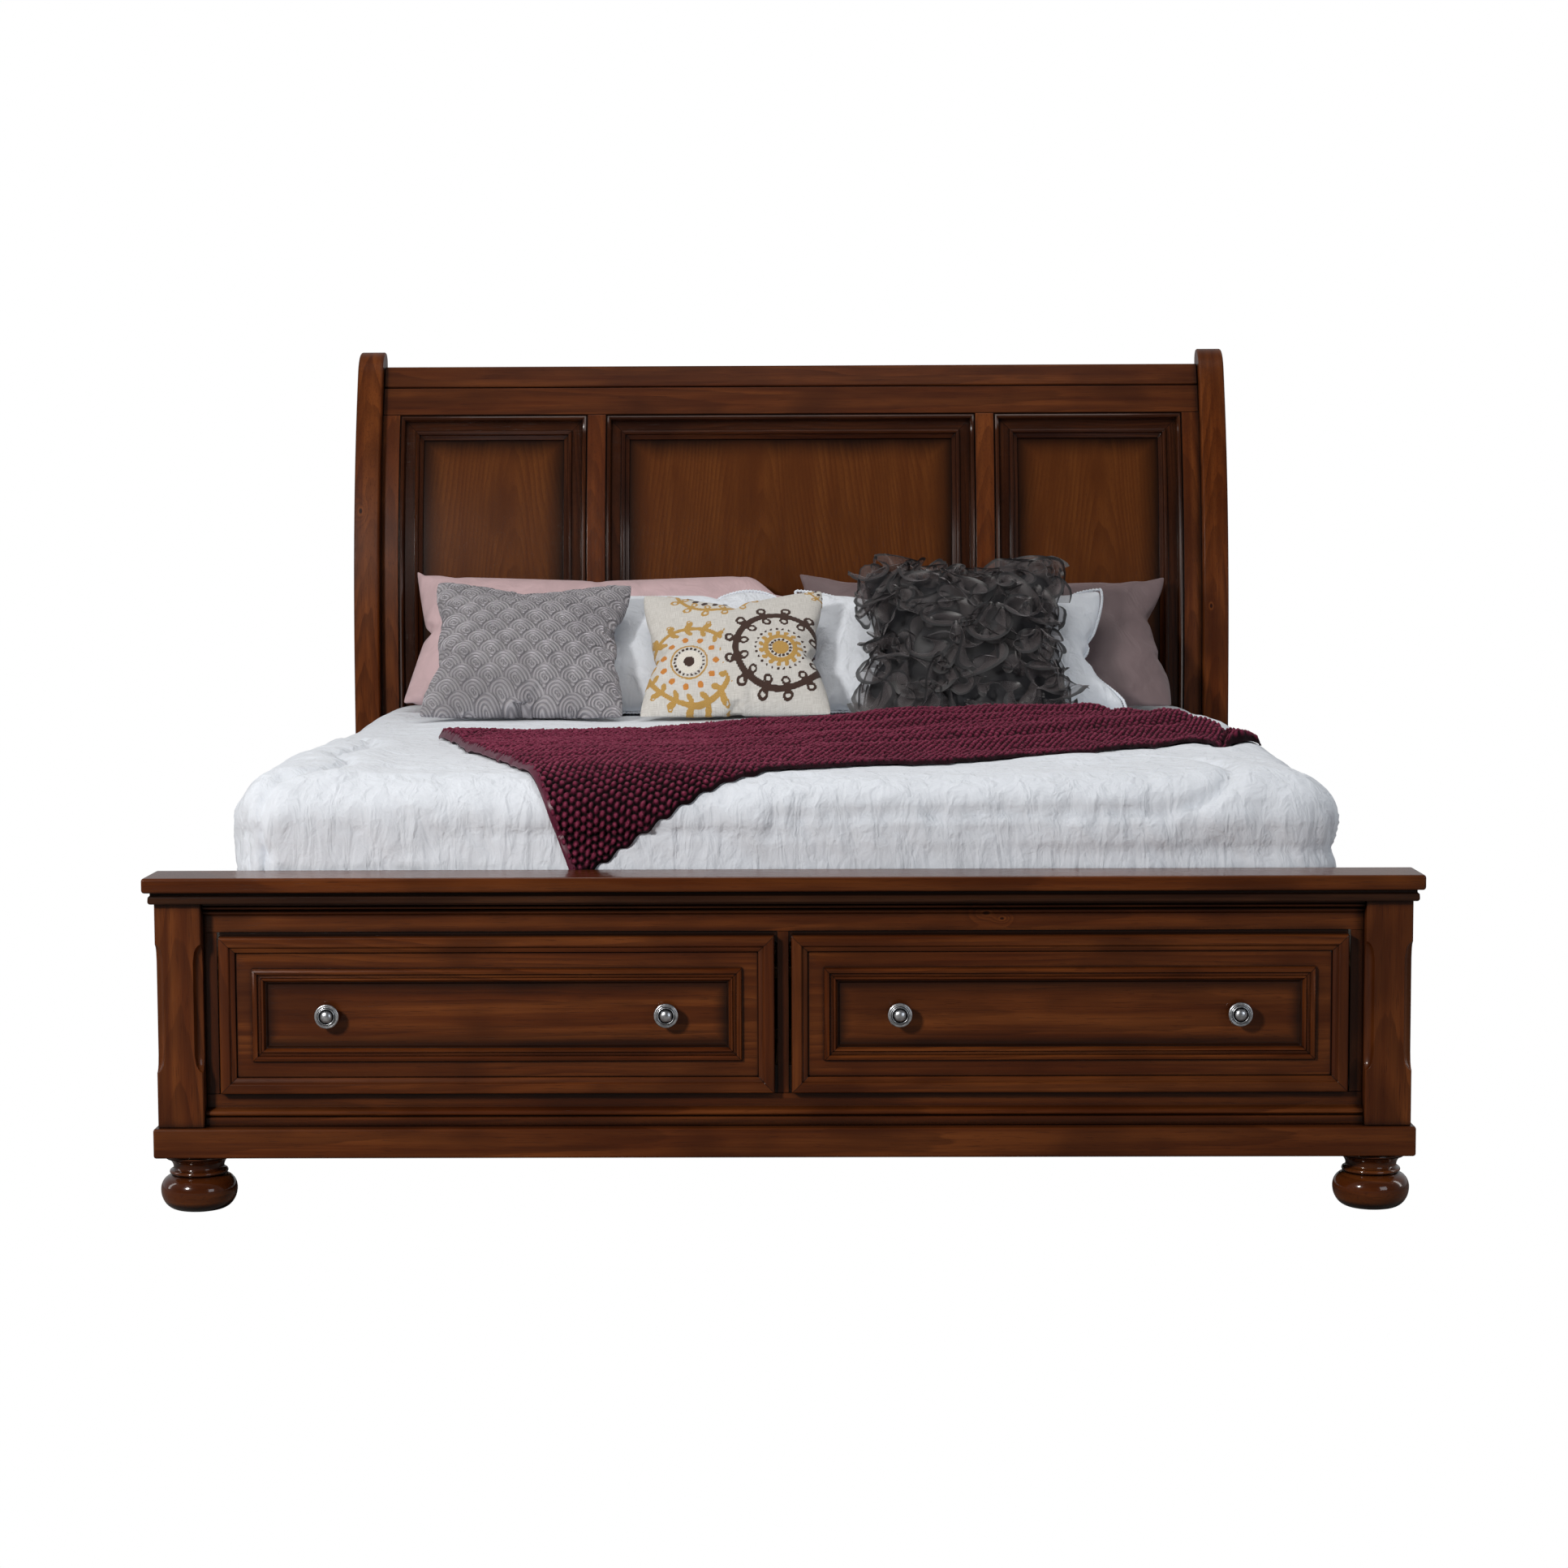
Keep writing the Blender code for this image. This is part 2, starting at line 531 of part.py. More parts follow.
def headboard_panels():
    heights = (LOWER_RAIL_TOP + GAP, UPPER_RAIL_BOTTOM - GAP)
    depths = (PANEL_SETBACK, PANEL_SETBACK + PANEL_THICKNESS)
    for name, span in panel_spans().items():
        bent_box("headboard_panel_" + name, span, depths, heights, "cherry_panel")
        bm = bmesh.new()
        framed(bm, (*span, *heights), panel_moulding_profile(), closed=True)
        bend(bm)
        add_object("panel_moulding_" + name, bm, "dark_moulding")


# ---------------------------------------------------------------- footboard
def foot_y(depth):
    """Y of a point that lies a depth behind the foot posts' faces."""
    return FOOT_FACE_Y + depth


def footboard_cap():
    low = (-CAP_HALF, foot_y(-CAP_OVERHANG), CAP_BOTTOM + GAP)
    high = (CAP_HALF, foot_y(CAP_DEPTH - CAP_OVERHANG), FOOTBOARD_HEIGHT)
    bevel(box("footboard_cap", low, high, "cherry_wood"), CAP_ROUNDING, segments=3)


def cap_moulding():
    """Moulded slab between cap and posts, stepped on the front and both ends."""
    half = FOOT_POST_OUTER + CAP_MOULDING_OVERHANG
    front = foot_y(-CAP_OVERHANG + CAP_SIDE_OVERHANG - CAP_MOULDING_OVERHANG)
    back = foot_y(CAP_DEPTH - CAP_OVERHANG - CAP_MOULDING_BACK)
    section = [(inset, CAP_BOTTOM - below) for inset, below in CAP_MOULDING_FILLET]
    wide, high = CAP_MOULDING_ROUND
    section += arc((wide, CAP_MOULDING_BOTTOM + high), (wide, high), 180, 270, 3)
    loops = [[(-half + inset, front + inset, z), (half - inset, front + inset, z),
              (half - inset, back, z), (-half + inset, back, z)] for inset, z in section]
    bm = bmesh.new()
    loft(bm, loops)
    add_object("cap_moulding", bm, "dark_moulding")


def cove_size(z):
    """Radius of the stopped cove at a height, with a quarter-round run-out at both ends."""
    inside = min(z - COVE_BOTTOM_Z, COVE_TOP_Z - z)
    share = min(max(inside / COVE_RUNOUT, 0.0), 1.0)
    return max(COVE_RADIUS * math.sqrt(1.0 - (1.0 - share) ** 2), COVE_LEAST)


def foot_post_levels():
    runs = [COVE_RUNOUT * share for share in COVE_SHARES]
    low = [COVE_BOTTOM_Z + run for run in runs]
    high = [COVE_TOP_Z - run for run in reversed(runs)]
    return [PLINTH_TOP + GAP] + low + high + [CAP_MOULDING_BOTTOM - GAP]


def foot_post_section(x0, x1, z):
    """Plan of a post at a height: square behind, coved on both front corners."""
    cove = cove_size(z)
    front, back = foot_y(0.0), foot_y(FOOT_POST_DEPTH)
    right = arc((x1, front), (cove, cove), 90, 180, 3)
    left = arc((x0, front), (cove, cove), 0, 90, 3)
    return [(x, y, z) for x, y in [(x0, back), (x1, back)] + right + left]


def footboard_posts():
    for side in (-1, 1):
        x0, x1 = side_span(side, FOOT_POST_INNER, FOOT_POST_OUTER)
        bm = bmesh.new()
        loft(bm, [foot_post_section(x0, x1, z) for z in foot_post_levels()])
        add_object("footboard_post_" + side_name(side), bm, "cherry_wood")


def footboard_top_rail():
    """Plain rail over the drawers, with two stepped beads under the cap."""
    half = FOOT_POST_INNER - GAP
    top = CAP_MOULDING_BOTTOM - GAP
    face, back = foot_y(RAIL_SETBACK), foot_y(RAIL_BACK)
    outline = [(back, TOP_RAIL_BOTTOM), (face, TOP_RAIL_BOTTOM), (face, top - TOP_RAIL_FACE_TOP)]
    (lower, lower_radii), (upper, upper_radii) = TOP_RAIL_BEADS
    outline += arc((face - lower[0], top - lower[1]), lower_radii, 270, 90, 4)
    outline += [(face - TOP_RAIL_STEP[0], top - TOP_RAIL_STEP[1])]
    outline += arc((face - upper[0], top - upper[1]), upper_radii, 270, 90, 4)
    crown = face - TOP_RAIL_CROWN[0]
    outline += [(crown, top - TOP_RAIL_CROWN[1]), (crown, top), (back, top)]
    extruded("footboard_top_rail", outline, (-half, half), "cherry_wood")


def footboard_sill():
    """Rail under the drawers: flat, then a bead and a lower flat that step forward."""
    half = FOOT_POST_INNER - GAP
    low = PLINTH_TOP + GAP
    face, back = foot_y(RAIL_SETBACK), foot_y(RAIL_BACK)
    flat = face - SILL_FLAT[0]
    outline = [(back, low), (flat, low), (flat, low + SILL_FLAT[1])]
    (forward, rise), radii = SILL_BEAD
    outline += arc((face - forward, low + rise), radii, 260, 95, 5)
    outline += [(face - forward, low + rise) for forward, rise in SILL_FILLET]
    outline += [(face, SILL_TOP), (back, SILL_TOP)]
    extruded("footboard_sill_rail", outline, (-half, half), "cherry_wood")


def footboard_plinth():
    low = (-PLINTH_HALF, foot_y(-PLINTH_FRONT), FOOT_HEIGHT)
    high = (PLINTH_HALF, foot_y(RAIL_BACK), PLINTH_TOP)
    bevel(box("footboard_plinth", low, high, "cherry_wood"), PLINTH_ROUNDING, segments=2)


def bun_foot_profile():
    """(radius, height) from the floor up: bun, ring bead, neck and flared top."""
    middle = BUN_MIDDLE_Z
    bun = arc((FOOT_PAD_RADIUS, middle), (FOOT_RADIUS - FOOT_PAD_RADIUS, middle), -90, 0, 5)
    shoulder = arc((BUN_SHOULDER_RADIUS, middle), (FOOT_RADIUS - BUN_SHOULDER_RADIUS, BUN_SHOULDER_RISE), 0, 72, 4)
    ring = arc(*FOOT_RING, -80, 80, 3)
    top = FOOT_HEIGHT - GAP
    start, rise = FOOT_FLARE
    flare = arc((FOOT_TOP_RADIUS, start), (FOOT_TOP_RADIUS - FOOT_NECK_RADIUS, rise), 180, 100, 4)
    return bun + shoulder[1:] + ring + flare + [(FOOT_TOP_RADIUS, top - FOOT_TOP_BAND), (FOOT_TOP_RADIUS, top)]


def bun_feet():
    centre_x = PLINTH_HALF - FOOT_RADIUS
    centre_y = foot_y(FOOT_RADIUS - PLINTH_FRONT)
    for side in (-1, 1):
        turned("bun_foot_" + side_name(side), bun_foot_profile(),
               lambda a, b, h, x=side * centre_x: (x + a, centre_y + b, h), "cherry_wood", TURNING_SIDES)


# ---------------------------------------------------------------- drawer case
def case_outline():
    """Side outline of a case side: front stile on the sill, a lower wall behind and a rear leg."""
    front, step, back = foot_y(RAIL_SETBACK + CASE_FRONT_SETBACK), foot_y(RAIL_BACK + GAP), foot_y(CASE_DEPTH)
    leg = back - CASE_LEG_LENGTH
    return [(front, SILL_TOP + GAP), (step, SILL_TOP + GAP), (step, CASE_FLOOR_Z), (leg, CASE_FLOOR_Z),
            (leg, 0.0), (back, 0.0), (back, DECK_Z), (step, DECK_Z),
            (step, TOP_RAIL_BOTTOM - GAP), (front, TOP_RAIL_BOTTOM - GAP)]


def drawer_case():
    outline = case_outline()
    for side in (-1, 1):
        span = side_span(side, OPENING_OUTER, FOOT_POST_INNER - GAP)
        extruded("case_side_" + side_name(side), outline, span, "cherry_wood")
    extruded("case_partition", outline, (-OPENING_INNER, OPENING_INNER), "cherry_wood")
    back_y = foot_y(CASE_DEPTH) + GAP
    half = FOOT_POST_INNER - GAP
    box("case_back", (-half, back_y, CASE_FLOOR_Z), (half, back_y + CASE_BACK_THICKNESS, DECK_Z),
        "drawer_birch")


def runner_z():
    return DRAWER_BOX_Z + DRAWER_BOX_HEIGHT * 0.5


def drawer_runners():
    """Hardwood runners on the case walls, which the grooved drawer sides ride on."""
    reach = DRAWER_BOX_SIDE_GAP + GROOVE_DEPTH - GROOVE_CLEARANCE
    z0, z1 = runner_z() - RUNNER_HEIGHT / 2, runner_z() + RUNNER_HEIGHT / 2
    y0 = foot_y(RAIL_BACK + RUNNER_SETBACK)
    for side in (-1, 1):
        walls = {"outer": (OPENING_OUTER - reach, OPENING_OUTER - GAP),
                 "inner": (OPENING_INNER + GAP, OPENING_INNER + reach)}
        for where, (near, far) in walls.items():
            x0, x1 = side_span(side, near, far)
            box(f"drawer_runner_{side_name(side)}_{where}", (x0, y0, z0),
                (x1, y0 + RUNNER_LENGTH, z1), "drawer_birch")


# ---------------------------------------------------------------- drawers
def drawer_front_span(side):
    low, high = side_span(side, OPENING_INNER + DRAWER_FRONT_SIDE_GAP, OPENING_OUTER - DRAWER_FRONT_SIDE_GAP)
    return low, high, DRAWER_FRONT_LOW, DRAWER_FRONT_TOP


def drawer_face(depth):
    """Y of a point that lies a depth behind the highest face of a drawer front."""
    return foot_y(DRAWER_FRONT_SETBACK + depth)


def drawer_front(side):
    """Mitred raised frame, ogee step, flat field and sunken centre panel."""
    profile = [(0.0, foot_y(DRAWER_FRONT_BACK))]
    profile += [(inset, drawer_face(depth)) for inset, depth in DRAWER_FRAME_EDGE]
    profile += [(DRAWER_FRAME_WIDTH + inset, drawer_face(depth)) for inset, depth in DRAWER_FRAME_INNER]
    before, behind = DRAWER_OGEE_START
    profile += [(DRAWER_FIELD_INSET - before + u, drawer_face(behind + v)) for u, v in arc(*DRAWER_OGEE, -70, 60, 3)]
    profile += [(DRAWER_FIELD_INSET, drawer_face(DRAWER_FIELD_DEPTH)),
                (DRAWER_BEAD_INNER - DRAWER_PANEL_BEVEL, drawer_face(DRAWER_FIELD_DEPTH)),
                (DRAWER_BEAD_INNER, drawer_face(DRAWER_PANEL_DEPTH))]
    bm = bmesh.new()
    framed(bm, drawer_front_span(side), profile, closed=False)
    add_object("drawer_front_" + side_name(side), bm, "cherry_wood")


def drawer_bead(side):
    """Applied bead frame around the sunken panel."""
    width = DRAWER_BEAD_INNER - DRAWER_BEAD_OUTER - DRAWER_BEAD_GAP
    seat = drawer_face(DRAWER_FIELD_DEPTH) - GAP
    face = seat - DRAWER_BEAD_BASE
    section = [(0.0, seat), (0.0, face)]
    place, radius = DRAWER_BEAD_ROUND
    section += arc((place, face), (radius, radius), 180, 360, 4)
    start, end, slope = DRAWER_BEAD_FLAT
    section += [(start, face + slope), (width - end, face - slope)]
    place, radii = DRAWER_BEAD_SMALL
    section += arc((width - place, face), radii, 180, 360, 3)
    section += [(width, seat)]
    profile = [(DRAWER_BEAD_OUTER + inset, y) for inset, y in section]
    bm = bmesh.new()
    framed(bm, drawer_front_span(side), profile, closed=True)
    add_object("drawer_bead_" + side_name(side), bm, "dark_moulding")


def drawer_box(side):
    """Open box behind the front, with a groove along the outside of each side wall."""
    x0, x1 = side_span(side, OPENING_INNER + DRAWER_BOX_SIDE_GAP, OPENING_OUTER - DRAWER_BOX_SIDE_GAP)
    y0 = foot_y(DRAWER_FRONT_BACK) + GAP
    y1 = y0 + DRAWER_BOX_LENGTH
    z0, z1 = DRAWER_BOX_Z, DRAWER_BOX_Z + DRAWER_BOX_HEIGHT
    drawer = box("drawer_box_" + side_name(side), (x0, y0, z0), (x1, y1, z1), "drawer_birch")
    inside = ((x0 + DRAWER_BOX_WALL, y0 + DRAWER_BOX_WALL, z0 + DRAWER_BOX_BOTTOM),
              (x1 - DRAWER_BOX_WALL, y1 - DRAWER_BOX_WALL, z1 + 0.05))
    groove_half = RUNNER_HEIGHT / 2 + GROOVE_CLEARANCE
    groove_y = foot_y(RAIL_BACK) - DRAWER_BOX_WALL
    groove_z = (runner_z() - groove_half, runner_z() + groove_half)
    grooves = [((wall - GROOVE_DEPTH, groove_y, groove_z[0]),
                (wall + GROOVE_DEPTH, y1 + 0.01, groove_z[1])) for wall in (x0, x1)]
    cut_boxes(drawer, [inside] + grooves)


def knob_profile():
    """(radius, projection) of a turned knob: base, neck, rim, two rings and a domed middle."""
    rim = KNOB_RADIUS
    reach = KNOB_PROJECTION
    inside, base = KNOB_BACK
    profile = list(KNOB_BASE) + [(rim - inside, base)]
    (inside, below), radius = KNOB_RIM
    profile += arc((rim - inside, reach - below), (radius, radius), -60, 90, 3)
    profile += [(rim - inside, reach - below) for inside, below in KNOB_RINGS]
    inside, height = KNOB_DOME
    profile += arc((0.0, reach - height), (rim - inside, height), 20, 78, 3)
    return profile


def drawer_knobs(side):
    x0, x1, z0, z1 = drawer_front_span(side)
    middle, height = (x0 + x1) / 2, (z0 + z1) / 2
    panel_y = drawer_face(DRAWER_PANEL_DEPTH) - GAP
    for place, step in (("a", -1), ("b", 1)):
        x = middle + step * KNOB_SPACING / 2
        turned(f"drawer_knob_{side_name(side)}_{place}", knob_profile(),
               lambda a, b, h, x=x: (x + a, panel_y - h, height + b), "pewter", KNOB_SIDES)


def drawers():
    for side in (-1, 1):
        drawer_front(side)
        drawer_bead(side)
        drawer_box(side)
        drawer_knobs(side)


# ---------------------------------------------------------------- rails and slats
def side_rails():
    y0, y1 = foot_y(FOOT_POST_DEPTH) + GAP, HEAD_FACE_Y - GAP
    inner = HALF_MATTRESS + SIDE_RAIL_OFFSET
    ledger_y = foot_y(CASE_DEPTH) + CASE_BACK_THICKNESS + 4 * GAP
    for side in (-1, 1):
        x0, x1 = side_span(side, inner, inner + SIDE_RAIL_THICKNESS)
        rail = box("side_rail_" + side_name(side), (x0, y0, SIDE_RAIL_Z),
                   (x1, y1, SIDE_RAIL_Z + SIDE_RAIL_HEIGHT), "cherry_wood")
        bevel(rail, SIDE_RAIL_ROUNDING, segments=2)
        x0, x1 = side_span(side, inner - GAP - LEDGER_WIDTH, inner - GAP)
        box("slat_ledger_" + side_name(side), (x0, ledger_y, DECK_Z - LEDGER_HEIGHT),
            (x1, y1 - DECK_HEAD_CLEARANCE, DECK_Z), "pine_slat")


def centre_support():
    """Beam under the middle of the slats, on two legs with turned pads."""
    y0 = foot_y(CASE_DEPTH) + CASE_BACK_THICKNESS + 4 * GAP
    y1 = HEAD_FACE_Y - DECK_HEAD_CLEARANCE
    bottom = DECK_Z - BEAM_HEIGHT
    box("centre_beam", (-BEAM_WIDTH / 2, y0, bottom), (BEAM_WIDTH / 2, y1, DECK_Z), "pine_slat")
    half = LEG_SIZE / 2
    for i, name in enumerate(("front", "rear")):
        y = y0 + (y1 - y0) * (i + 1) / 3
        bm = bmesh.new()
        square = [(-half, -half), (half, -half), (half, half), (-half, half)]
        turns = [2 * math.pi * (k + 0.5) / LEG_PAD_SIDES for k in range(LEG_PAD_SIDES)]
        pad = [(LEG_PAD_RADIUS * math.cos(a), LEG_PAD_RADIUS * math.sin(a)) for a in turns]
        heights = (0.0, LEG_PAD_HEIGHT + LEG_PAD_OVERLAP)
        loft(bm, [[(a, y + b, h) for a, b in pad] for h in heights])
        levelling_pad = add_object(f"centre_leg_{name}_pad", bm, None)
        levelling_pad.hide_render = True
        levelling_pad.display_type = "WIRE"
        bm = bmesh.new()
        loft(bm, [[(a, y + b, h) for a, b in square] for h in (LEG_PAD_HEIGHT, bottom - GAP)])
        leg = add_object(f"centre_leg_{name}", bm, "pine_slat")
        union = leg.modifiers.new("pad", "BOOLEAN")
        union.operation = "UNION"
        union.object = levelling_pad


def slat_roll():
    """Slats across the bed, joined by two strips of webbing stapled under them."""
    half = HALF_MATTRESS + SIDE_RAIL_OFFSET - 2 * GAP - SLAT_SIDE_CLEARANCE
    y0, y1 = foot_y(RAIL_BACK + SLAT_FOOT_SETBACK), HEAD_FACE_Y - SLAT_HEAD_CLEARANCE
    pitch = (y1 - y0 - SLAT_WIDTH) / (SLAT_COUNT - 1)
    bm = bmesh.new()
    for i in range(SLAT_COUNT):
        y = y0 + i * pitch
        add_box(bm, (-half, y, SLAT_BOTTOM), (half, y + SLAT_WIDTH, SLAT_TOP_Z))
    roll = add_object("slat_roll", bm, "pine_slat")
    bm = bmesh.new()
    for x in (-WEBBING_X, WEBBING_X):
        add_box(bm, (x - WEBBING_WIDTH / 2, y0 + WEBBING_MARGIN, SLAT_TOP_Z - WEBBING_THICKNESS),
                (x + WEBBING_WIDTH / 2, y1 - WEBBING_MARGIN, SLAT_TOP_Z - WEBBING_RECESS))
    webbing = add_object("slat_webbing", bm, None)
    webbing.hide_render = True
    webbing.display_type = "WIRE"
    union = roll.modifiers.new("webbing", "BOOLEAN")
    union.operation = "UNION"
    union.object = webbing


# ---------------------------------------------------------------- soft parts
def mattress():
    low = (-HALF_MATTRESS, foot_y(MATTRESS_FOOT), SLAT_TOP_Z + GAP)
    high = (HALF_MATTRESS, foot_y(MATTRESS_HEAD), MATTRESS_TOP)
    bevel(box("mattress", low, high, "ticking"), MATTRESS_ROUNDING, segments=3)


def comforter_half():
    return HALF_MATTRESS + COMFORTER_CLEARANCE + COMFORTER_SKIRT


def comforter_front():
    return foot_y(MATTRESS_FOOT) - COMFORTER_CLEARANCE / 2 - COMFORTER_SKIRT


def comforter():
    """Thick cover over the top and three sides of the mattress, open at the head."""
    back = HEAD_FACE_Y - COMFORTER_HEAD_CLEARANCE
    low = (-comforter_half(), comforter_front(), COMFORTER_HEM_Z)
    cover = box("comforter", low, (comforter_half(), back, COMFORTER_TOP), "white_cotton")
    bevel(cover, COMFORTER_ROUNDING, segments=4)
    inner = HALF_MATTRESS + COMFORTER_CLEARANCE
    hollow = ((-inner, foot_y(MATTRESS_FOOT) - COMFORTER_CLEARANCE / 2, COMFORTER_HEM_Z - 0.1),
              (inner, back + 0.1, COMFORTER_TOP - COMFORTER_THICKNESS))
    cut_boxes(cover, [hollow])


def throw_corners():
    """Plan of the throw on the bed, and where its tip hangs over the foot, from the bed's edges."""
    left, right = -HALF_MATTRESS, HALF_MATTRESS
    foot = comforter_front() - THROW_THICKNESS - 2 * GAP
    plan = [(left + x, foot + y) for x, y in THROW_LEFT_EDGE]
    plan += [(right - x, foot + y) for x, y in THROW_RIGHT_EDGE]
    plan += [(left + x, foot + y) for x, y in THROW_FAR_EDGE]
    return plan, (left + THROW_TIP_X, plan[2][0], plan[3][0], foot)


def throw():
    """A blanket laid across the bed, its corner hanging over the foot to just above the cap."""
    low, high = COMFORTER_TOP + 2 * GAP, COMFORTER_TOP + THROW_THICKNESS
    plan, (tip_x, left_x, right_x, foot) = throw_corners()
    bm = bmesh.new()
    loft(bm, [[(x, y, z) for x, y in plan] for z in (low, high)])
    blanket = add_object("throw", bm, "burgundy_plush")
    tip_z = FOOTBOARD_HEIGHT + THROW_TIP_CLEARANCE
    inset, (left_drop, right_drop) = THROW_FLAP_INSET, THROW_FLAP_DROP
    flap = [(left_x + inset, high - inset), (left_x + inset, low - left_drop),
            (tip_x - THROW_TIP_HALF_WIDTH, tip_z), (tip_x + THROW_TIP_HALF_WIDTH, tip_z),
            (right_x - inset, low - right_drop), (right_x - inset, high - inset)]
    bm = bmesh.new()
    loft(bm, [[(x, y, z) for x, z in flap] for y in (foot + THROW_FLAP_GAP, foot + THROW_THICKNESS)])
    corner = add_object("throw_corner", bm, None)
    corner.hide_render = True
    corner.display_type = "WIRE"
    union = blanket.modifiers.new("corner", "BOOLEAN")
    union.operation = "UNION"
    union.object = corner


def pillow_base(row):
    """Distance of a row's lower edge behind the foot posts; row is a list of sizes, head first."""
    _, height, thickness = row[0]
    base = HEAD_FACE + HEAD_FRAME_SETBACK - PILLOW_HEAD_CLEARANCE - height * math.sin(PILLOW_TILT)
    for size in row[1:]:
        base -= ((thickness + size[2]) / 2 + PILLOW_GAP) / math.cos(PILLOW_TILT)
        thickness = size[2]
    return base


def pillow_point(size, u, v, face):
    """A point of a crowned pillow in its own plane; u and v run from -1 to 1."""
    width, height, thickness = size
    crown = math.sqrt(max((1 - u ** 4) * (1 - v ** 4), 0.0))
    across = width / 2 * u * (1 - PILLOW_PINCH * (1 - v * v))
    along = height / 2 * v * (1 - PILLOW_PINCH * (1 - u * u)) + height / 2
    return across, along, face * thickness / 2 * crown


def pillow(name, size, centre_x, base, material_name):
    """A crowned pillow that leans back on its row and rests flat on the comforter."""
    columns, rows = PILLOW_CELLS
    sin, cos = math.sin(PILLOW_TILT), math.cos(PILLOW_TILT)
    floor = COMFORTER_TOP + 2 * GAP
    bm = bmesh.new()
    grids = {}
    for face in (-1, 1):
        for i in range(columns + 1):
            for j in range(rows + 1):
                rim = i in (0, columns) or j in (0, rows)
                key = (i, j, 0 if rim else face)
                if key in grids:
                    continue
                across, along, out = pillow_point(size, 2 * i / columns - 1, 2 * j / rows - 1, face)
                y = foot_y(base) + along * sin - out * cos
                grids[key] = bm.verts.new((centre_x + across, y, COMFORTER_TOP + along * cos + out * sin))
    for face in (-1, 1):
        for i in range(columns):
            for j in range(rows):
                corners = [(i, j), (i + 1, j), (i + 1, j + 1), (i, j + 1)]
                rims = [c[0] in (0, columns) or c[1] in (0, rows) for c in corners]
                quad = [grids[(*c, 0 if rim else face)] for c, rim in zip(corners, rims)]
                bm.faces.new(quad)
    geometry = bm.verts[:] + bm.edges[:] + bm.faces[:]
    bmesh.ops.bisect_plane(bm, geom=geometry, dist=1e-6, plane_co=(0, 0, floor), plane_no=(0, 0, 1),
                           clear_inner=True)
    bmesh.ops.contextual_create(bm, geom=[edge for edge in bm.edges if edge.is_boundary])
    return add_object(name, bm, material_name)


def pillows():
    pairs = (("sham", SHAM_SIZE, [SHAM_SIZE], "mauve_sateen"),
             ("pillow_white", PILLOW_SIZE, [SHAM_SIZE, PILLOW_SIZE], "white_cotton"))
    for name, size, row, cloth in pairs:
        for side in (-1, 1):
            centre = side * (size[0] / 2 + PILLOW_MIDDLE_GAP)
            pillow(f"{name}_{side_name(side)}", size, centre, pillow_base(row), cloth)
    left = -HALF_MATTRESS + CUSHION_ROW_START
    cushions = (("cushion_quilted", QUILTED_SIZE, "grey_velvet"),
                ("cushion_embroidered", EMBROIDERED_SIZE, "cream_linen"),
                ("cushion_ruffled", RUFFLED_SIZE, "charcoal_organza"))
    for (name, size, cloth), space in zip(cushions, (*CUSHION_SPACES, 0.0)):
        pillow(name, size, left + size[0] / 2, pillow_base([SHAM_SIZE, PILLOW_SIZE, size]), cloth)
        left += size[0] + space


def main():
    clear_scene()
    headboard_posts()
    headboard_rails()
    headboard_uprights()
    headboard_panels()
    footboard_cap()
    cap_moulding()
    footboard_posts()
    footboard_top_rail()
    footboard_sill()
    footboard_plinth()
    bun_feet()
    drawer_case()
    drawer_runners()
    drawers()
    side_rails()
    centre_support()
    slat_roll()
    mattress()
    comforter()
    throw()
    pillows()


main()
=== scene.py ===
"""Looks for the king-size sleigh bed: lacquered cherry, pewter knobs and the bedding on it.

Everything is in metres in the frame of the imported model: +Z up, the foot of the bed towards -Y.
"""
import json
import math

import bmesh
import bpy
import numpy as np
from mathutils import Matrix, Vector


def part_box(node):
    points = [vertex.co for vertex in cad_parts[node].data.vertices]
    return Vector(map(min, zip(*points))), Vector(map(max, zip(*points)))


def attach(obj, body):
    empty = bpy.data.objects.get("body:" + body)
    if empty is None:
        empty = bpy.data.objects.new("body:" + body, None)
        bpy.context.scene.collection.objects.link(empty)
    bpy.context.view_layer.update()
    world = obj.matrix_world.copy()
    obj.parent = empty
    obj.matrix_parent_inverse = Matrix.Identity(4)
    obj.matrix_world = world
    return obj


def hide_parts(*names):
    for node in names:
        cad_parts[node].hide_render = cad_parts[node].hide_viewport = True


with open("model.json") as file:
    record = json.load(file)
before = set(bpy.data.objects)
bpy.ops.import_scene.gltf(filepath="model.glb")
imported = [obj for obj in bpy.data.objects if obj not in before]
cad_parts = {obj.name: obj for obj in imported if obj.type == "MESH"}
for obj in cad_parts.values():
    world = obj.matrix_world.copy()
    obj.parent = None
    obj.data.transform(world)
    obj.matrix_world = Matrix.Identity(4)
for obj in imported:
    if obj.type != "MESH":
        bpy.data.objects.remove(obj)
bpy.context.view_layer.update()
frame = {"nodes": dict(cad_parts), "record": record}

# ---------------------------------------------------------------- camera and stage
CAMERA_PLACE = Vector((0.055, -6.455, 1.175))
CAMERA_PITCH = math.radians(4.79)     # down
CAMERA_YAW = math.radians(0.56)       # towards -X
CAMERA_ROLL = math.radians(0.23)
CAMERA_LENS = 72.4                    # mm
CAMERA_SENSOR = 36.0                  # mm
FLOOR_SIZE = 40.0
FLOOR_MIRRORED = (0.22, 0.21, 0.20, 1.0)
SKY_RANGE = (-0.6, 0.7)               # of the direction's Y, from the foot of the bed to its head
SKY_STRENGTH = (0.045, 0.42)
SKY_TINT = (0.94, 0.97, 1.0, 1.0)
WHITE_PAPER = (1.0, 1.0, 1.0, 1.0)

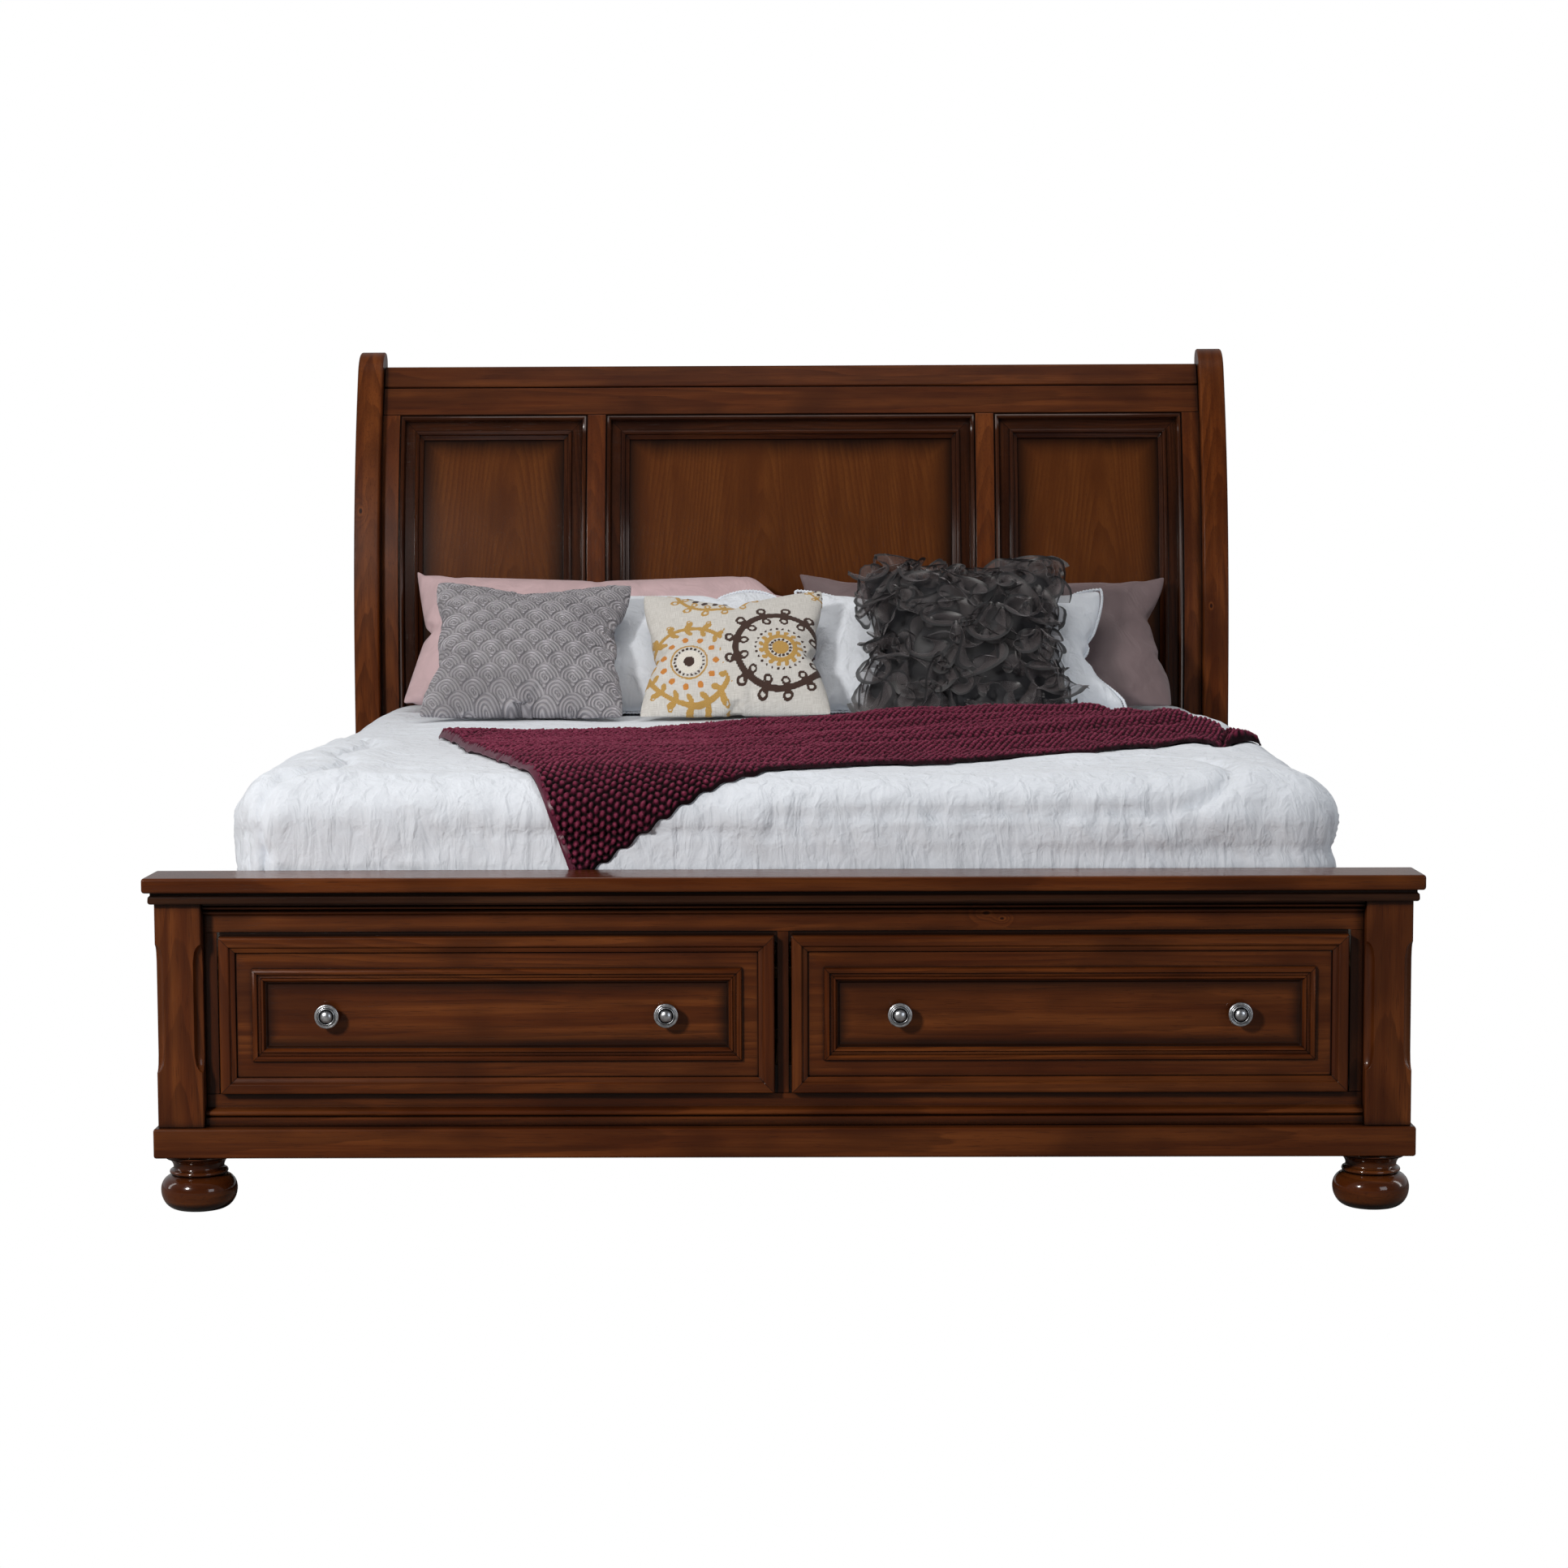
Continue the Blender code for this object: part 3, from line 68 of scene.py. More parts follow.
# (name, place, aim, width, height, watts, colour)
LIGHTS = (
    ("key", (-3.3, -5.1, 2.95), (0.0, -0.7, 0.5), 0.7, 0.7, 210, (1.0, 0.975, 0.95)),
    ("overhead", (0.0, -0.2, 4.2), (0.0, 0.1, 0.7), 2.4, 1.8, 46, (1.0, 0.97, 0.94)),
    ("fill_right", (3.4, -5.2, 1.6), (0.2, -0.6, 0.5), 1.8, 1.8, 34, (0.88, 0.93, 1.0)),
    ("strip_left", (-3.4, -0.9, 1.3), (0.0, -0.9, 0.6), 0.4, 1.8, 9, (1.0, 1.0, 1.0)),
    ("strip_right", (3.4, -0.9, 1.3), (0.0, -0.9, 0.6), 0.4, 1.8, 12, (1.0, 1.0, 1.0)),
)


def add_camera():
    """A camera from a place, a pitch, a yaw and a small roll."""
    pitch, yaw, roll = CAMERA_PITCH, CAMERA_YAW, CAMERA_ROLL
    forward = Vector((-math.sin(yaw) * math.cos(pitch), math.cos(yaw) * math.cos(pitch), -math.sin(pitch)))
    right = forward.cross(Vector((0, 0, 1))).normalized()
    up = right.cross(forward)
    tilted_right = math.cos(roll) * right - math.sin(roll) * up
    tilted_up = math.sin(roll) * right + math.cos(roll) * up
    data = bpy.data.cameras.new("camera")
    data.lens = CAMERA_LENS
    data.sensor_width = CAMERA_SENSOR
    camera = bpy.data.objects.new("camera", data)
    axes = Matrix((tilted_right, tilted_up, -forward)).transposed()
    camera.matrix_world = Matrix.Translation(CAMERA_PLACE) @ axes.to_4x4()
    bpy.context.scene.collection.objects.link(camera)
    bpy.context.scene.camera = camera


def add_light(name, place, aim, width, height, watts, colour):
    data = bpy.data.lights.new(name, "AREA")
    data.shape = "RECTANGLE"
    data.size = width
    data.size_y = height
    data.energy = watts
    data.color = colour
    light = bpy.data.objects.new(name, data)
    light.location = place
    light.rotation_euler = (Vector(aim) - Vector(place)).to_track_quat("-Z", "Y").to_euler()
    light.visible_camera = False
    bpy.context.scene.collection.objects.link(light)


def split_rays(tree, lighting, seen, output):
    """Show the camera one shader, and light and mirror the bed with another."""
    path = tree.nodes.new("ShaderNodeLightPath")
    mixed = tree.nodes.new("ShaderNodeMixShader")
    tree.links.new(path.outputs["Is Camera Ray"], mixed.inputs[0])
    tree.links.new(lighting.outputs[0], mixed.inputs[1])
    tree.links.new(seen.outputs[0], mixed.inputs[2])
    tree.links.new(mixed.outputs[0], tree.nodes.new(output).inputs[0])


def add_world():
    """White to the eye, and a soft light that is brighter from the head of the bed than from its foot."""
    world = bpy.data.worlds.new("studio")
    world.use_nodes = True
    tree = world.node_tree
    tree.nodes.clear()
    place = tree.nodes.new("ShaderNodeTexCoord")
    split = tree.nodes.new("ShaderNodeSeparateXYZ")
    tree.links.new(place.outputs["Generated"], split.inputs[0])
    sky = tree.nodes.new("ShaderNodeMapRange")
    for socket, value in zip(("From Min", "From Max", "To Min", "To Max"), SKY_RANGE + SKY_STRENGTH):
        sky.inputs[socket].default_value = value
    tree.links.new(split.outputs["Y"], sky.inputs["Value"])
    soft = tree.nodes.new("ShaderNodeBackground")
    tree.links.new(sky.outputs[0], soft.inputs["Strength"])
    soft.inputs["Color"].default_value = SKY_TINT
    white = tree.nodes.new("ShaderNodeBackground")
    white.inputs["Color"].default_value = WHITE_PAPER
    split_rays(tree, soft, white, "ShaderNodeOutputWorld")
    bpy.context.scene.world = world


def add_floor():
    """A floor that is plain white to the eye and matt grey to the lacquer that mirrors it."""
    bm = bmesh.new()
    half = FLOOR_SIZE / 2
    bm.faces.new([bm.verts.new((x * half, y * half, 0.0)) for x, y in ((-1, -1), (1, -1), (1, 1), (-1, 1))])
    mesh = bpy.data.meshes.new("floor")
    bm.to_mesh(mesh)
    bm.free()
    floor = bpy.data.objects.new("floor", mesh)
    bpy.context.scene.collection.objects.link(floor)
    material = bpy.data.materials.new("floor")
    material.use_nodes = True
    tree = material.node_tree
    tree.nodes.clear()
    seen = tree.nodes.new("ShaderNodeEmission")
    seen.inputs["Color"].default_value = WHITE_PAPER
    mirrored = tree.nodes.new("ShaderNodeBsdfDiffuse")
    mirrored.inputs["Color"].default_value = FLOOR_MIRRORED
    split_rays(tree, mirrored, seen, "ShaderNodeOutputMaterial")
    mesh.materials.append(material)


# ---------------------------------------------------------------- building materials
class Nodes:
    """One material's node tree, with short calls for the nodes that the finishes use."""

    def __init__(self, name, **sockets):
        self.material = bpy.data.materials.new(name)
        self.material.use_nodes = True
        self.tree = self.material.node_tree
        self.shader = self.tree.nodes["Principled BSDF"]
        for socket, value in sockets.items():
            self.shader.inputs[socket.replace("_", " ")].default_value = value

    def add(self, kind, inputs=(), **settings):
        node = self.tree.nodes.new("ShaderNode" + kind)
        for key, value in settings.items():
            setattr(node, key, value)
        for key, value in dict(inputs).items():
            self.feed(node.inputs[key], value)
        return node

    def feed(self, socket, value):
        if isinstance(value, bpy.types.NodeSocket):
            self.tree.links.new(value, socket)
        elif isinstance(value, tuple) and socket.type == "RGBA":
            socket.default_value = (*value[:3], 1.0)
        else:
            socket.default_value = value

    def calc(self, operation, *values):
        node = self.add("Math", operation=operation)
        for i, value in enumerate(values):
            self.feed(node.inputs[i], value)
        return node.outputs[0]

    def times(self, first, second):
        return self.calc("MULTIPLY", first, second)

    def plus(self, first, second):
        return self.calc("ADD", first, second)

    def minus(self, first, second):
        return self.calc("SUBTRACT", first, second)

    def times_plus(self, first, second, third):
        return self.calc("MULTIPLY_ADD", first, second, third)

    def place(self):
        """Object coordinates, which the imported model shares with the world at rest."""
        return self.add("TexCoord").outputs["Object"]

    def split(self, vector):
        return self.add("SeparateXYZ", {0: vector}).outputs

    def inside(self, rectangle):
        """How far each place is inside a rectangle (x0, x1, z0, z1), from its upright sides and from its ends."""
        x0, x1, z0, z1 = rectangle
        spots = self.split(self.place())
        return [self.minus((high - low) / 2, self.calc("ABSOLUTE", self.minus(spots[axis], (low + high) / 2)))
                for axis, low, high in ((0, x0, x1), (2, z0, z1))]

    def join(self, x, y, z):
        return self.add("CombineXYZ", {0: x, 1: y, 2: z}).outputs[0]

    def stretch(self, vector, scale, offset=(0.0, 0.0, 0.0)):
        return self.add("Mapping", {0: vector, 1: offset, 3: scale}).outputs[0]

    def noise(self, vector, scale, detail=2.0, rough=0.5, warp=0.0):
        return self.add("TexNoise", {"Vector": vector, "Scale": scale, "Detail": detail, "Roughness": rough,
                                     "Distortion": warp}).outputs[0]

    def step(self, value, low, high, out=(0.0, 1.0)):
        """A smooth step from low to high."""
        node = self.add("MapRange", {"Value": value, "From Min": low, "From Max": high,
                                     "To Min": out[0], "To Max": out[1]}, interpolation_type="SMOOTHSTEP")
        return node.outputs[0]

    def mix(self, share, first, second, blend="MIX"):
        node = self.add("Mix", data_type="RGBA", blend_type=blend)
        self.feed(node.inputs[0], share)
        self.feed(node.inputs[6], first)
        self.feed(node.inputs[7], second)
        return node.outputs[2]

    def blend(self, share, first, second):
        """A number between two others."""
        node = self.add("Mix", data_type="FLOAT")
        for i, value in enumerate((share, first, second)):
            self.feed(node.inputs[(0, 2, 3)[i]], value)
        return node.outputs[0]

    def bump(self, height, distance, strength=1.0, normal=None):
        node = self.add("Bump", {"Height": height, "Distance": distance, "Strength": strength})
        if normal is not None:
            self.feed(node.inputs["Normal"], normal)
        return node.outputs[0]

    def finish(self, colour=None, roughness=None, normal=None):
        for socket, value in (("Base Color", colour), ("Roughness", roughness), ("Normal", normal)):
            if value is not None:
                self.feed(self.shader.inputs[socket], value)
        return self.material


# ---------------------------------------------------------------- wood
DULL_LACQUER = {"Coat_Weight": 0.10, "Coat_Roughness": 0.20, "Specular_IOR_Level": 0.08}
LACQUER = {"Coat_Weight": 0.32, "Coat_Roughness": 0.14, "Specular_IOR_Level": 0.12}
BRIGHT_LACQUER = {"Coat_Weight": 0.8, "Coat_Roughness": 0.07, "Specular_IOR_Level": 0.12}
CHERRY = ((0.034, 0.0072, 0.0019), (0.102, 0.0225, 0.0043), (0.190, 0.052, 0.0110))
RAIL_CHERRY = ((0.026, 0.0056, 0.0015), (0.076, 0.0170, 0.0034), (0.140, 0.0385, 0.0082))
PANEL = ((0.062, 0.0155, 0.0038), (0.108, 0.0305, 0.0068), (0.138, 0.0425, 0.0092))
MOULDING = ((0.014, 0.0040, 0.0020), (0.038, 0.0100, 0.0034), (0.075, 0.0215, 0.0065))
CAP_MOULDING = ((0.010, 0.0038, 0.0020), (0.034, 0.0112, 0.0048), (0.075, 0.027, 0.011))
# dark glazing for mitre lines and rubbed edges, and also the colour of the painted shade in corners and quirks
GLAZE_AND_SHADE = (0.0065, 0.0026, 0.0016)
BIRCH = ((0.36, 0.23, 0.115), (0.50, 0.345, 0.190), (0.60, 0.44, 0.265))
PINE = ((0.40, 0.24, 0.105), (0.56, 0.385, 0.205), (0.66, 0.49, 0.285))
CREVICE_SAMPLES = 6
CREVICE_RANGE = (0.95, 0.52)          # open sky over a point where the darkening starts and where it is full: painted shade on wood and cloth, patina on pewter
MITRE_LINE = (0.0013, 0.0003)         # half widths of the dark line along a mitre
FIBRE_DEPTH = 0.00012
POST_KNOTS = {"left": ((-0.014, 0.41, 0.007),), "right": ((-0.012, 0.18, 0.006),)}     # across, along, size
TOP_RAIL_KNOTS = ((0.004, 0.345, 0.007), (-0.006, 0.372, 0.004))
PANEL_HEARTS = (0.05, -0.06, 0.03)    # middle of each panel's arches, from the panel's own middle
GRAIN_AXES = {"x": (2, 1, 0), "y": (2, 0, 1), "z": (0, 1, 2)}     # across, depth, along


KNOT_SPREAD, KNOT_CORE = 0.22, 1.3    # how fast a knot's swelling and its dark core fade
RING_RISE, RING_EDGE = 0.15, 0.93     # a growth ring's slow rise and sharp dark edge, as shares of its pitch
FIBRES, PORES = (330.0, 7.0), (620.0, 26.0)     # per metre across and along the grain
KNOT_LENGTH = 1.7                     # times a knot's width
RING_WANDER = 0.11                    # how far growth rings stray sideways, in metres
RING_HEART = 0.0012                   # rounds the arches' tips
E = 2.718


class Grain:
    """Sawn timber's pattern in a node tree: growth rings, arches, fibres, pores and knots."""

    def __init__(self, nodes, along, centre, seed, arches, pitch, knots):
        self.nodes, self.seed = nodes, seed
        parts = nodes.split(nodes.stretch(nodes.place(), (1, 1, 1), tuple(-c for c in centre)))
        self.across, self.depth, self.length = (parts[i] for i in GRAIN_AXES[along])
        self.knot = None
        self.ring = self.growth_rings(arches, pitch, knots)
        self.fibre = nodes.noise(self.stretched(*FIBRES), 1.0, 3.0, 0.6)
        self.pore = nodes.step(nodes.noise(self.stretched(*PORES), 1.0, 1.0), 0.62, 0.72)
        self.streak = nodes.noise(self.stretched(38.0, 1.5, 3.0), 1.0, 3.0, 0.55, 0.4)
        self.cloud = nodes.noise(self.stretched(11.0, 4.5, 7.0), 1.0, 2.0)

    def stretched(self, across, along, shift=None):
        """Coordinates scaled across and along the grain; a shift moves to another slice of the timber."""
        n = self.nodes
        if shift is None:
            depth = n.times(self.depth, across)
        else:
            depth = n.plus(self.depth, self.seed + shift)
        return n.join(n.times(self.across, across), depth, n.times(self.length, along))

    def growth_rings(self, arches, pitch, knots):
        n = self.nodes
        wander = n.noise(self.stretched(5.0, 0.9, 0.0), 1.0, 2.0)
        wide = n.plus(self.across, n.times_plus(wander, RING_WANDER, -RING_WANDER / 2))
        heart = n.calc("SQRT", n.plus(n.times(wide, wide), RING_HEART))
        rings = n.times_plus(self.length, arches, n.times_plus(wander, 0.030, heart))
        for where_across, where_along, size in knots:
            a = n.calc("DIVIDE", n.minus(self.across, where_across), size)
            b = n.calc("DIVIDE", n.minus(self.length, where_along), size * KNOT_LENGTH)
            reach = n.plus(n.times(a, a), n.times(b, b))
            swell = n.calc("POWER", E, n.times(reach, -KNOT_SPREAD))
            rings = n.times_plus(swell, pitch * 3.0, rings)
            core = n.calc("POWER", E, n.times(reach, -KNOT_CORE))
            self.knot = core if self.knot is None else n.calc("MAXIMUM", self.knot, core)
        tremor = n.noise(self.stretched(55.0, 6.0, 1.0), 1.0, 2.0)
        rings = n.times_plus(tremor, pitch * 0.7, rings)
        phase = n.calc("FRACT", n.calc("DIVIDE", rings, pitch))
        return n.times(n.step(phase, RING_RISE, RING_EDGE), n.step(phase, 1.0, RING_EDGE))

    def colour(self, dark, middle, light):
        n = self.nodes
        base = n.mix(n.step(self.streak, 0.30, 0.72), middle, light)
        base = n.mix(n.times(n.step(self.cloud, 0.40, 0.70), 0.60), base, dark)
        plain = n.times_plus(n.step(self.cloud, 0.62, 0.38), 0.36, 0.12)
        base = n.mix(n.times(self.ring, plain), base, dark)
        base = n.mix(n.times(n.step(self.fibre, 0.45, 0.75), 0.30), base, dark)
        base = n.mix(n.times(self.pore, 0.45), base, dark)
        if self.knot is not None:
            base = n.mix(n.times(n.step(self.knot, 0.08, 0.50), 0.5), base, tuple(c * 1.15 for c in light))
            base = n.mix(n.step(self.knot, 0.50, 0.90), base, tuple(c * 0.6 for c in dark))
        return base

    def relief(self):
        n = self.nodes
        return n.minus(n.times(self.fibre, 0.35), self.pore)


def crevice_shade_and_patina(nodes, colour, hollow_tone, reach=0.020, amount=0.94):
    """Darken a finish's colour where ambient occlusion finds corners and quirks: painted shade on wood and cloth, and
    on pewter the patina in the knobs' rings.
    """
    shade = nodes.add("AmbientOcclusion", {"Distance": reach}, samples=CREVICE_SAMPLES)
    hidden = nodes.step(shade.outputs["AO"], *CREVICE_RANGE)
    return nodes.mix(nodes.times(hidden, amount), colour, hollow_tone)


def wood(name, tones, along, centre=(0, 0, 0), seed=0.0, arches=0.05, pitch=0.011, knots=(), roughness=0.34,
         finish=None, burnish=None, frame_rim=None, corners=True):
    """Lacquered or bare timber with its grain along an axis.

    burnish is (rectangle, width): dark glazing rubbed in around a rectangle (x0, x1, z0, z1).
    frame_rim is (rectangle, depth): a mitred rim this deep whose stiles have upright grain.
    """
    n = Nodes(name, **(LACQUER if finish is None else finish))
    grain = Grain(n, along, centre, seed, arches, pitch, knots)
    colour = grain.colour(*tones)
    if frame_rim:
        rectangle, depth = frame_rim
        wide, tall = n.inside(rectangle)
        upright = Grain(n, "z", (rectangle[0], 0.0, rectangle[2]), seed + 5.0, arches, pitch, ())
        rim = n.calc("LESS_THAN", n.calc("MINIMUM", wide, tall), depth)
        stile = n.times(rim, n.calc("LESS_THAN", wide, tall))
        colour = n.mix(stile, colour, upright.colour(*tones))
        joint = n.step(n.calc("ABSOLUTE", n.minus(wide, tall)), *MITRE_LINE)
        colour = n.mix(n.times(n.times(joint, rim), 0.8), colour, GLAZE_AND_SHADE)
    if burnish:
        rectangle, width = burnish
        near = n.calc("MINIMUM", *n.inside(rectangle))
        rubbed = n.times_plus(grain.cloud, width * 0.7, n.minus(near, width * 0.35))
        shade = n.times(n.step(rubbed, width, -0.2 * width), n.calc("GREATER_THAN", near, 0.0))
        colour = n.mix(n.times(shade, 0.96), colour, GLAZE_AND_SHADE)
    # painted shade: the colour darkens towards the glazing tone where ambient occlusion finds corners, quirks and gaps
    # between boards
    if corners:
        colour = crevice_shade_and_patina(n, colour, GLAZE_AND_SHADE)
    rough = n.times_plus(grain.fibre, 0.10, roughness - 0.05)
    return n.finish(colour, rough, n.bump(grain.relief(), FIBRE_DEPTH, 0.6))


# ---------------------------------------------------------------- wooden and metal pieces
MERGE_DISTANCE = 1e-5
FLAT_ANGLE, QUAD_ANGLE = 0.05, 2.0    # degrees between triangles that make one flat face, or one quad
EDGE_PROFILE = 0.6
BUN_PAD, BUN_WAIST, BUN_NECK, BUN_FLARE = 0.033, 0.0445, 0.043, 0.058     # radii, from the floor upwards
BUN_BELLY = 0.034                     # height of its widest ring
BUN_SIDES, KNOB_SIDES = 72, 48
MOULDING_WIDTH = 0.057
DRAWER_RIM = 0.030
BEAD_WIDTH = 0.023
PANEL_BURNISH = 0.058                 # width of the dark glaze round a headboard panel
DRAWER_BURNISH = 0.030
# dark blocks behind the drawer gaps, standing in for the shade there:
SHADE_BLOCK_GAP = 0.001                      # between a shut drawer front and the strips behind it
SHADE_BLOCK_DEPTH = 0.010
SHADE_BLOCK_LAP = 0.012                      # how far a strip reaches behind a front
SHADE_BLOCK_RISE = 0.036
OPENING_LAP = 0.005
BODY_OF = {node: body for body, nodes in frame["record"]["behaviour"]["bodies"].items() for node in nodes}
SIDES = ("left", "right")


def add_piece(name, bm, material, body="bed", sharp=35.0):
    """A new object from a bmesh, smooth apart from its sharp edges, that rides on a body."""
    mesh = bpy.data.meshes.new(name)
    bm.to_mesh(mesh)
    bm.free()
    mesh.shade_smooth()
    mesh.set_sharp_from_angle(angle=math.radians(sharp))
    mesh.materials.append(material)
    piece = bpy.data.objects.new(name, mesh)
    bpy.context.scene.collection.objects.link(piece)
    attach(piece, body)
    return piece


def refined(node, material, slot, width=0.0015, segments=2, angle=28.0, mitred=False):
    """A CAD piece with its triangles merged into flat faces and its edges eased; mitres stay edges."""
    bm = bmesh.new()
    bm.from_mesh(frame["nodes"][node].data)
    bmesh.ops.remove_doubles(bm, verts=bm.verts[:], dist=MERGE_DISTANCE)
    if mitred:
        bmesh.ops.join_triangles(bm, faces=bm.faces[:], angle_face_threshold=math.radians(QUAD_ANGLE),
                                 angle_shape_threshold=math.pi)
    else:
        bmesh.ops.dissolve_limit(bm, angle_limit=math.radians(FLAT_ANGLE), verts=bm.verts[:], edges=bm.edges[:])
    sharp = [edge for edge in bm.edges if edge.calc_face_angle(0.0) > math.radians(angle)]
    if width:
        bmesh.ops.bevel(bm, geom=sharp, offset=width, segments=segments, profile=EDGE_PROFILE, affect="EDGES",
                        clamp_overlap=True)
    piece = add_piece(node + "_finished", bm, material, BODY_OF[node])
    normals = piece.modifiers.new("normals", "WEIGHTED_NORMAL")
    normals.keep_sharp = True
    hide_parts(node)
    return piece


def turned(node, profile, centre, axis, sides, material):
    """Turn a profile of (radius, height) points about a line along Z or -Y through a point."""
    bm = bmesh.new()
    rings = []
    for radius, height in profile:
        ring = []
        for i in range(sides):
            turn = 2 * math.pi * i / sides
            a, b = radius * math.cos(turn), radius * math.sin(turn)
            spot = (a, b, height) if axis == "z" else (a, -height, b)
            ring.append(bm.verts.new(Vector(centre) + Vector(spot)))
        rings.append(ring)
    for low, high in zip(rings, rings[1:]):
        for i in range(sides):
            j = (i + 1) % sides
            bm.faces.new((low[i], low[j], high[j], high[i]))
    bm.faces.new(rings[0][::-1])
    bm.faces.new(rings[-1])
    bmesh.ops.recalc_face_normals(bm, faces=bm.faces[:])
    piece = add_piece(node + "_turned", bm, material, BODY_OF[node], sharp=50.0)
    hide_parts(node)
    return piece


def arc(centre, radii, start, end, steps):
    """Points of an elliptical arc, angles in degrees from the first axis."""
    turns = [math.radians(start + (end - start) * i / steps) for i in range(steps + 1)]
    return [(centre[0] + radii[0] * math.cos(t), centre[1] + radii[1] * math.sin(t)) for t in turns]


def middle(node):
    low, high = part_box(node)
    return tuple((low + high) / 2)


def outline_xz(node, inset=0.0):
    """The rectangle that a piece covers when it is seen from the foot, shrunk by an inset."""
    low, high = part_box(node)
    return low.x + inset, high.x - inset, low.z + inset, high.z - inset


def timber(node, along, seed, arches, pitch, edge=(0.0006,), tones=CHERRY, slot="cherry_wood", mitred=False, **finish):
    """A CAD piece in lacquered wood; edge is the eased edges' width, segments and least angle."""
    material = wood(node, tones, along, middle(node), seed, arches, pitch, **finish)
    return refined(node, material, slot, *edge, mitred=mitred)


def headboard():
    for i, side in enumerate(SIDES):
        timber("headboard_post_" + side, "z", 2.0 + i, 0.10, 0.010, (0.003, 3), knots=POST_KNOTS[side],
               finish=DULL_LACQUER)
        timber("headboard_stile_" + side, "z", 4.0 + i, 0.08, 0.012, (0.001,))
        timber("headboard_muntin_" + side, "z", 6.0 + i, 0.12, 0.012, (0.001,))
    for i, place in enumerate(("crest", "upper", "lower")):
        edge = 0.003 if place == "crest" else 0.0012
        timber(f"headboard_{place}_rail", "x", 8.0 + i, 0.02, 0.013, (edge, 3), RAIL_CHERRY, roughness=0.50,
               finish=DULL_LACQUER)
    for i, place in enumerate(("left", "centre", "right")):
        panel, trim = "headboard_panel_" + place, "panel_moulding_" + place
        x, y, z = middle(panel)
        finish = wood(panel, PANEL, "z", (x + PANEL_HEARTS[i], y, z), 11.0 + 2 * i, 0.11, 0.010,
                      burnish=(outline_xz(trim, MOULDING_WIDTH), PANEL_BURNISH), finish=DULL_LACQUER)
        refined(panel, finish, "cherry_panel", 0.0)
        timber(trim, "x", 20.0 + i, 0.03, 0.010, (0.0005, 2, 40.0), MOULDING, "dark_moulding", True,
               roughness=0.24, frame_rim=(outline_xz(trim), MOULDING_WIDTH))


def footboard():
    for i, side in enumerate(SIDES):
        timber("footboard_post_" + side, "z", 24.0 + i, 0.12, 0.014, (0.0012, 2, 38.0))
    timber("footboard_cap", "x", 27.0, 0.01, 0.012, (0.0,), roughness=0.28)
    timber("cap_moulding", "x", 29.0, 0.01, 0.012, (0.0008, 2, 30.0), CAP_MOULDING, "dark_moulding")
    timber("footboard_top_rail", "x", 31.0, 0.03, 0.012, (0.0006, 2, 30.0), knots=TOP_RAIL_KNOTS)
    timber("footboard_sill_rail", "x", 34.0, 0.02, 0.010, (0.0006, 2, 30.0))
    timber("footboard_plinth", "x", 37.0, 0.03, 0.016, (0.0,))
    for i, side in enumerate(SIDES):
        bun_foot("bun_foot_" + side, 39.0 + i)


def bun_foot(node, seed):
    low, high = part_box(node)
    radius, top = (high.x - low.x) / 2, high.z
    centre = ((low.x + high.x) / 2, (low.y + high.y) / 2, 0.0)
    profile = [(BUN_PAD, 0.0)]
    profile += arc((BUN_PAD + 0.004, BUN_BELLY), (radius - BUN_PAD - 0.004, BUN_BELLY), -90, 0, 12)
    profile += arc((BUN_WAIST, BUN_BELLY), (radius - BUN_WAIST, 0.0245), 0, 74, 10)[1:]
    profile += [(BUN_WAIST + 0.0035, 0.0600)]
    profile += arc((0.0440, 0.0650), (0.0058, 0.0045), -80, 80, 8)
    profile += arc((BUN_FLARE, 0.0725), (BUN_FLARE - BUN_NECK, 0.0165), 180, 100, 10)
    profile += [(BUN_FLARE - 0.001, top - 0.0068)]
    profile += arc((BUN_FLARE - 0.0035, top - 0.0035), (0.0035, 0.0030), -80, 80, 6) + [(BUN_FLARE - 0.004, top)]
    finish = wood(node, CHERRY, "x", centre, seed, 0.02, 0.010, roughness=0.20,
                  finish=BRIGHT_LACQUER)
    turned(node, profile, centre, "z", BUN_SIDES, finish)


def drawer_finish(side, seed):
    front, bead = "drawer_front_" + side, "drawer_bead_" + side
    timber(front, "x", seed, 0.015, 0.013, (0.0007, 2, 30.0), mitred=True, frame_rim=(outline_xz(front), DRAWER_RIM),
           burnish=(outline_xz(bead, BEAD_WIDTH), DRAWER_BURNISH))
    timber(bead, "x", seed + 4.0, 0.02, 0.010, (0.0005, 2, 40.0), slot="dark_moulding", mitred=True, roughness=0.26,
           frame_rim=(outline_xz(bead), BEAD_WIDTH))


def pewter():
    """Cast pewter knobs with dark patina in their rings and a brushed, worn face."""
    n = Nodes("pewter", Metallic=1.0)
    spot = n.place()
    mottle = n.noise(spot, 160.0, 3.0)
    colour = n.mix(n.step(mottle, 0.35, 0.70), (0.55, 0.57, 0.60), (0.86, 0.88, 0.91))
    colour = crevice_shade_and_patina(n, colour, (0.030, 0.030, 0.033), 0.0045, 0.95)
    rough = n.times_plus(mottle, 0.14, 0.26)
    return n.finish(colour, rough, n.bump(n.noise(spot, 900.0, 2.0), 0.00008, 0.5))


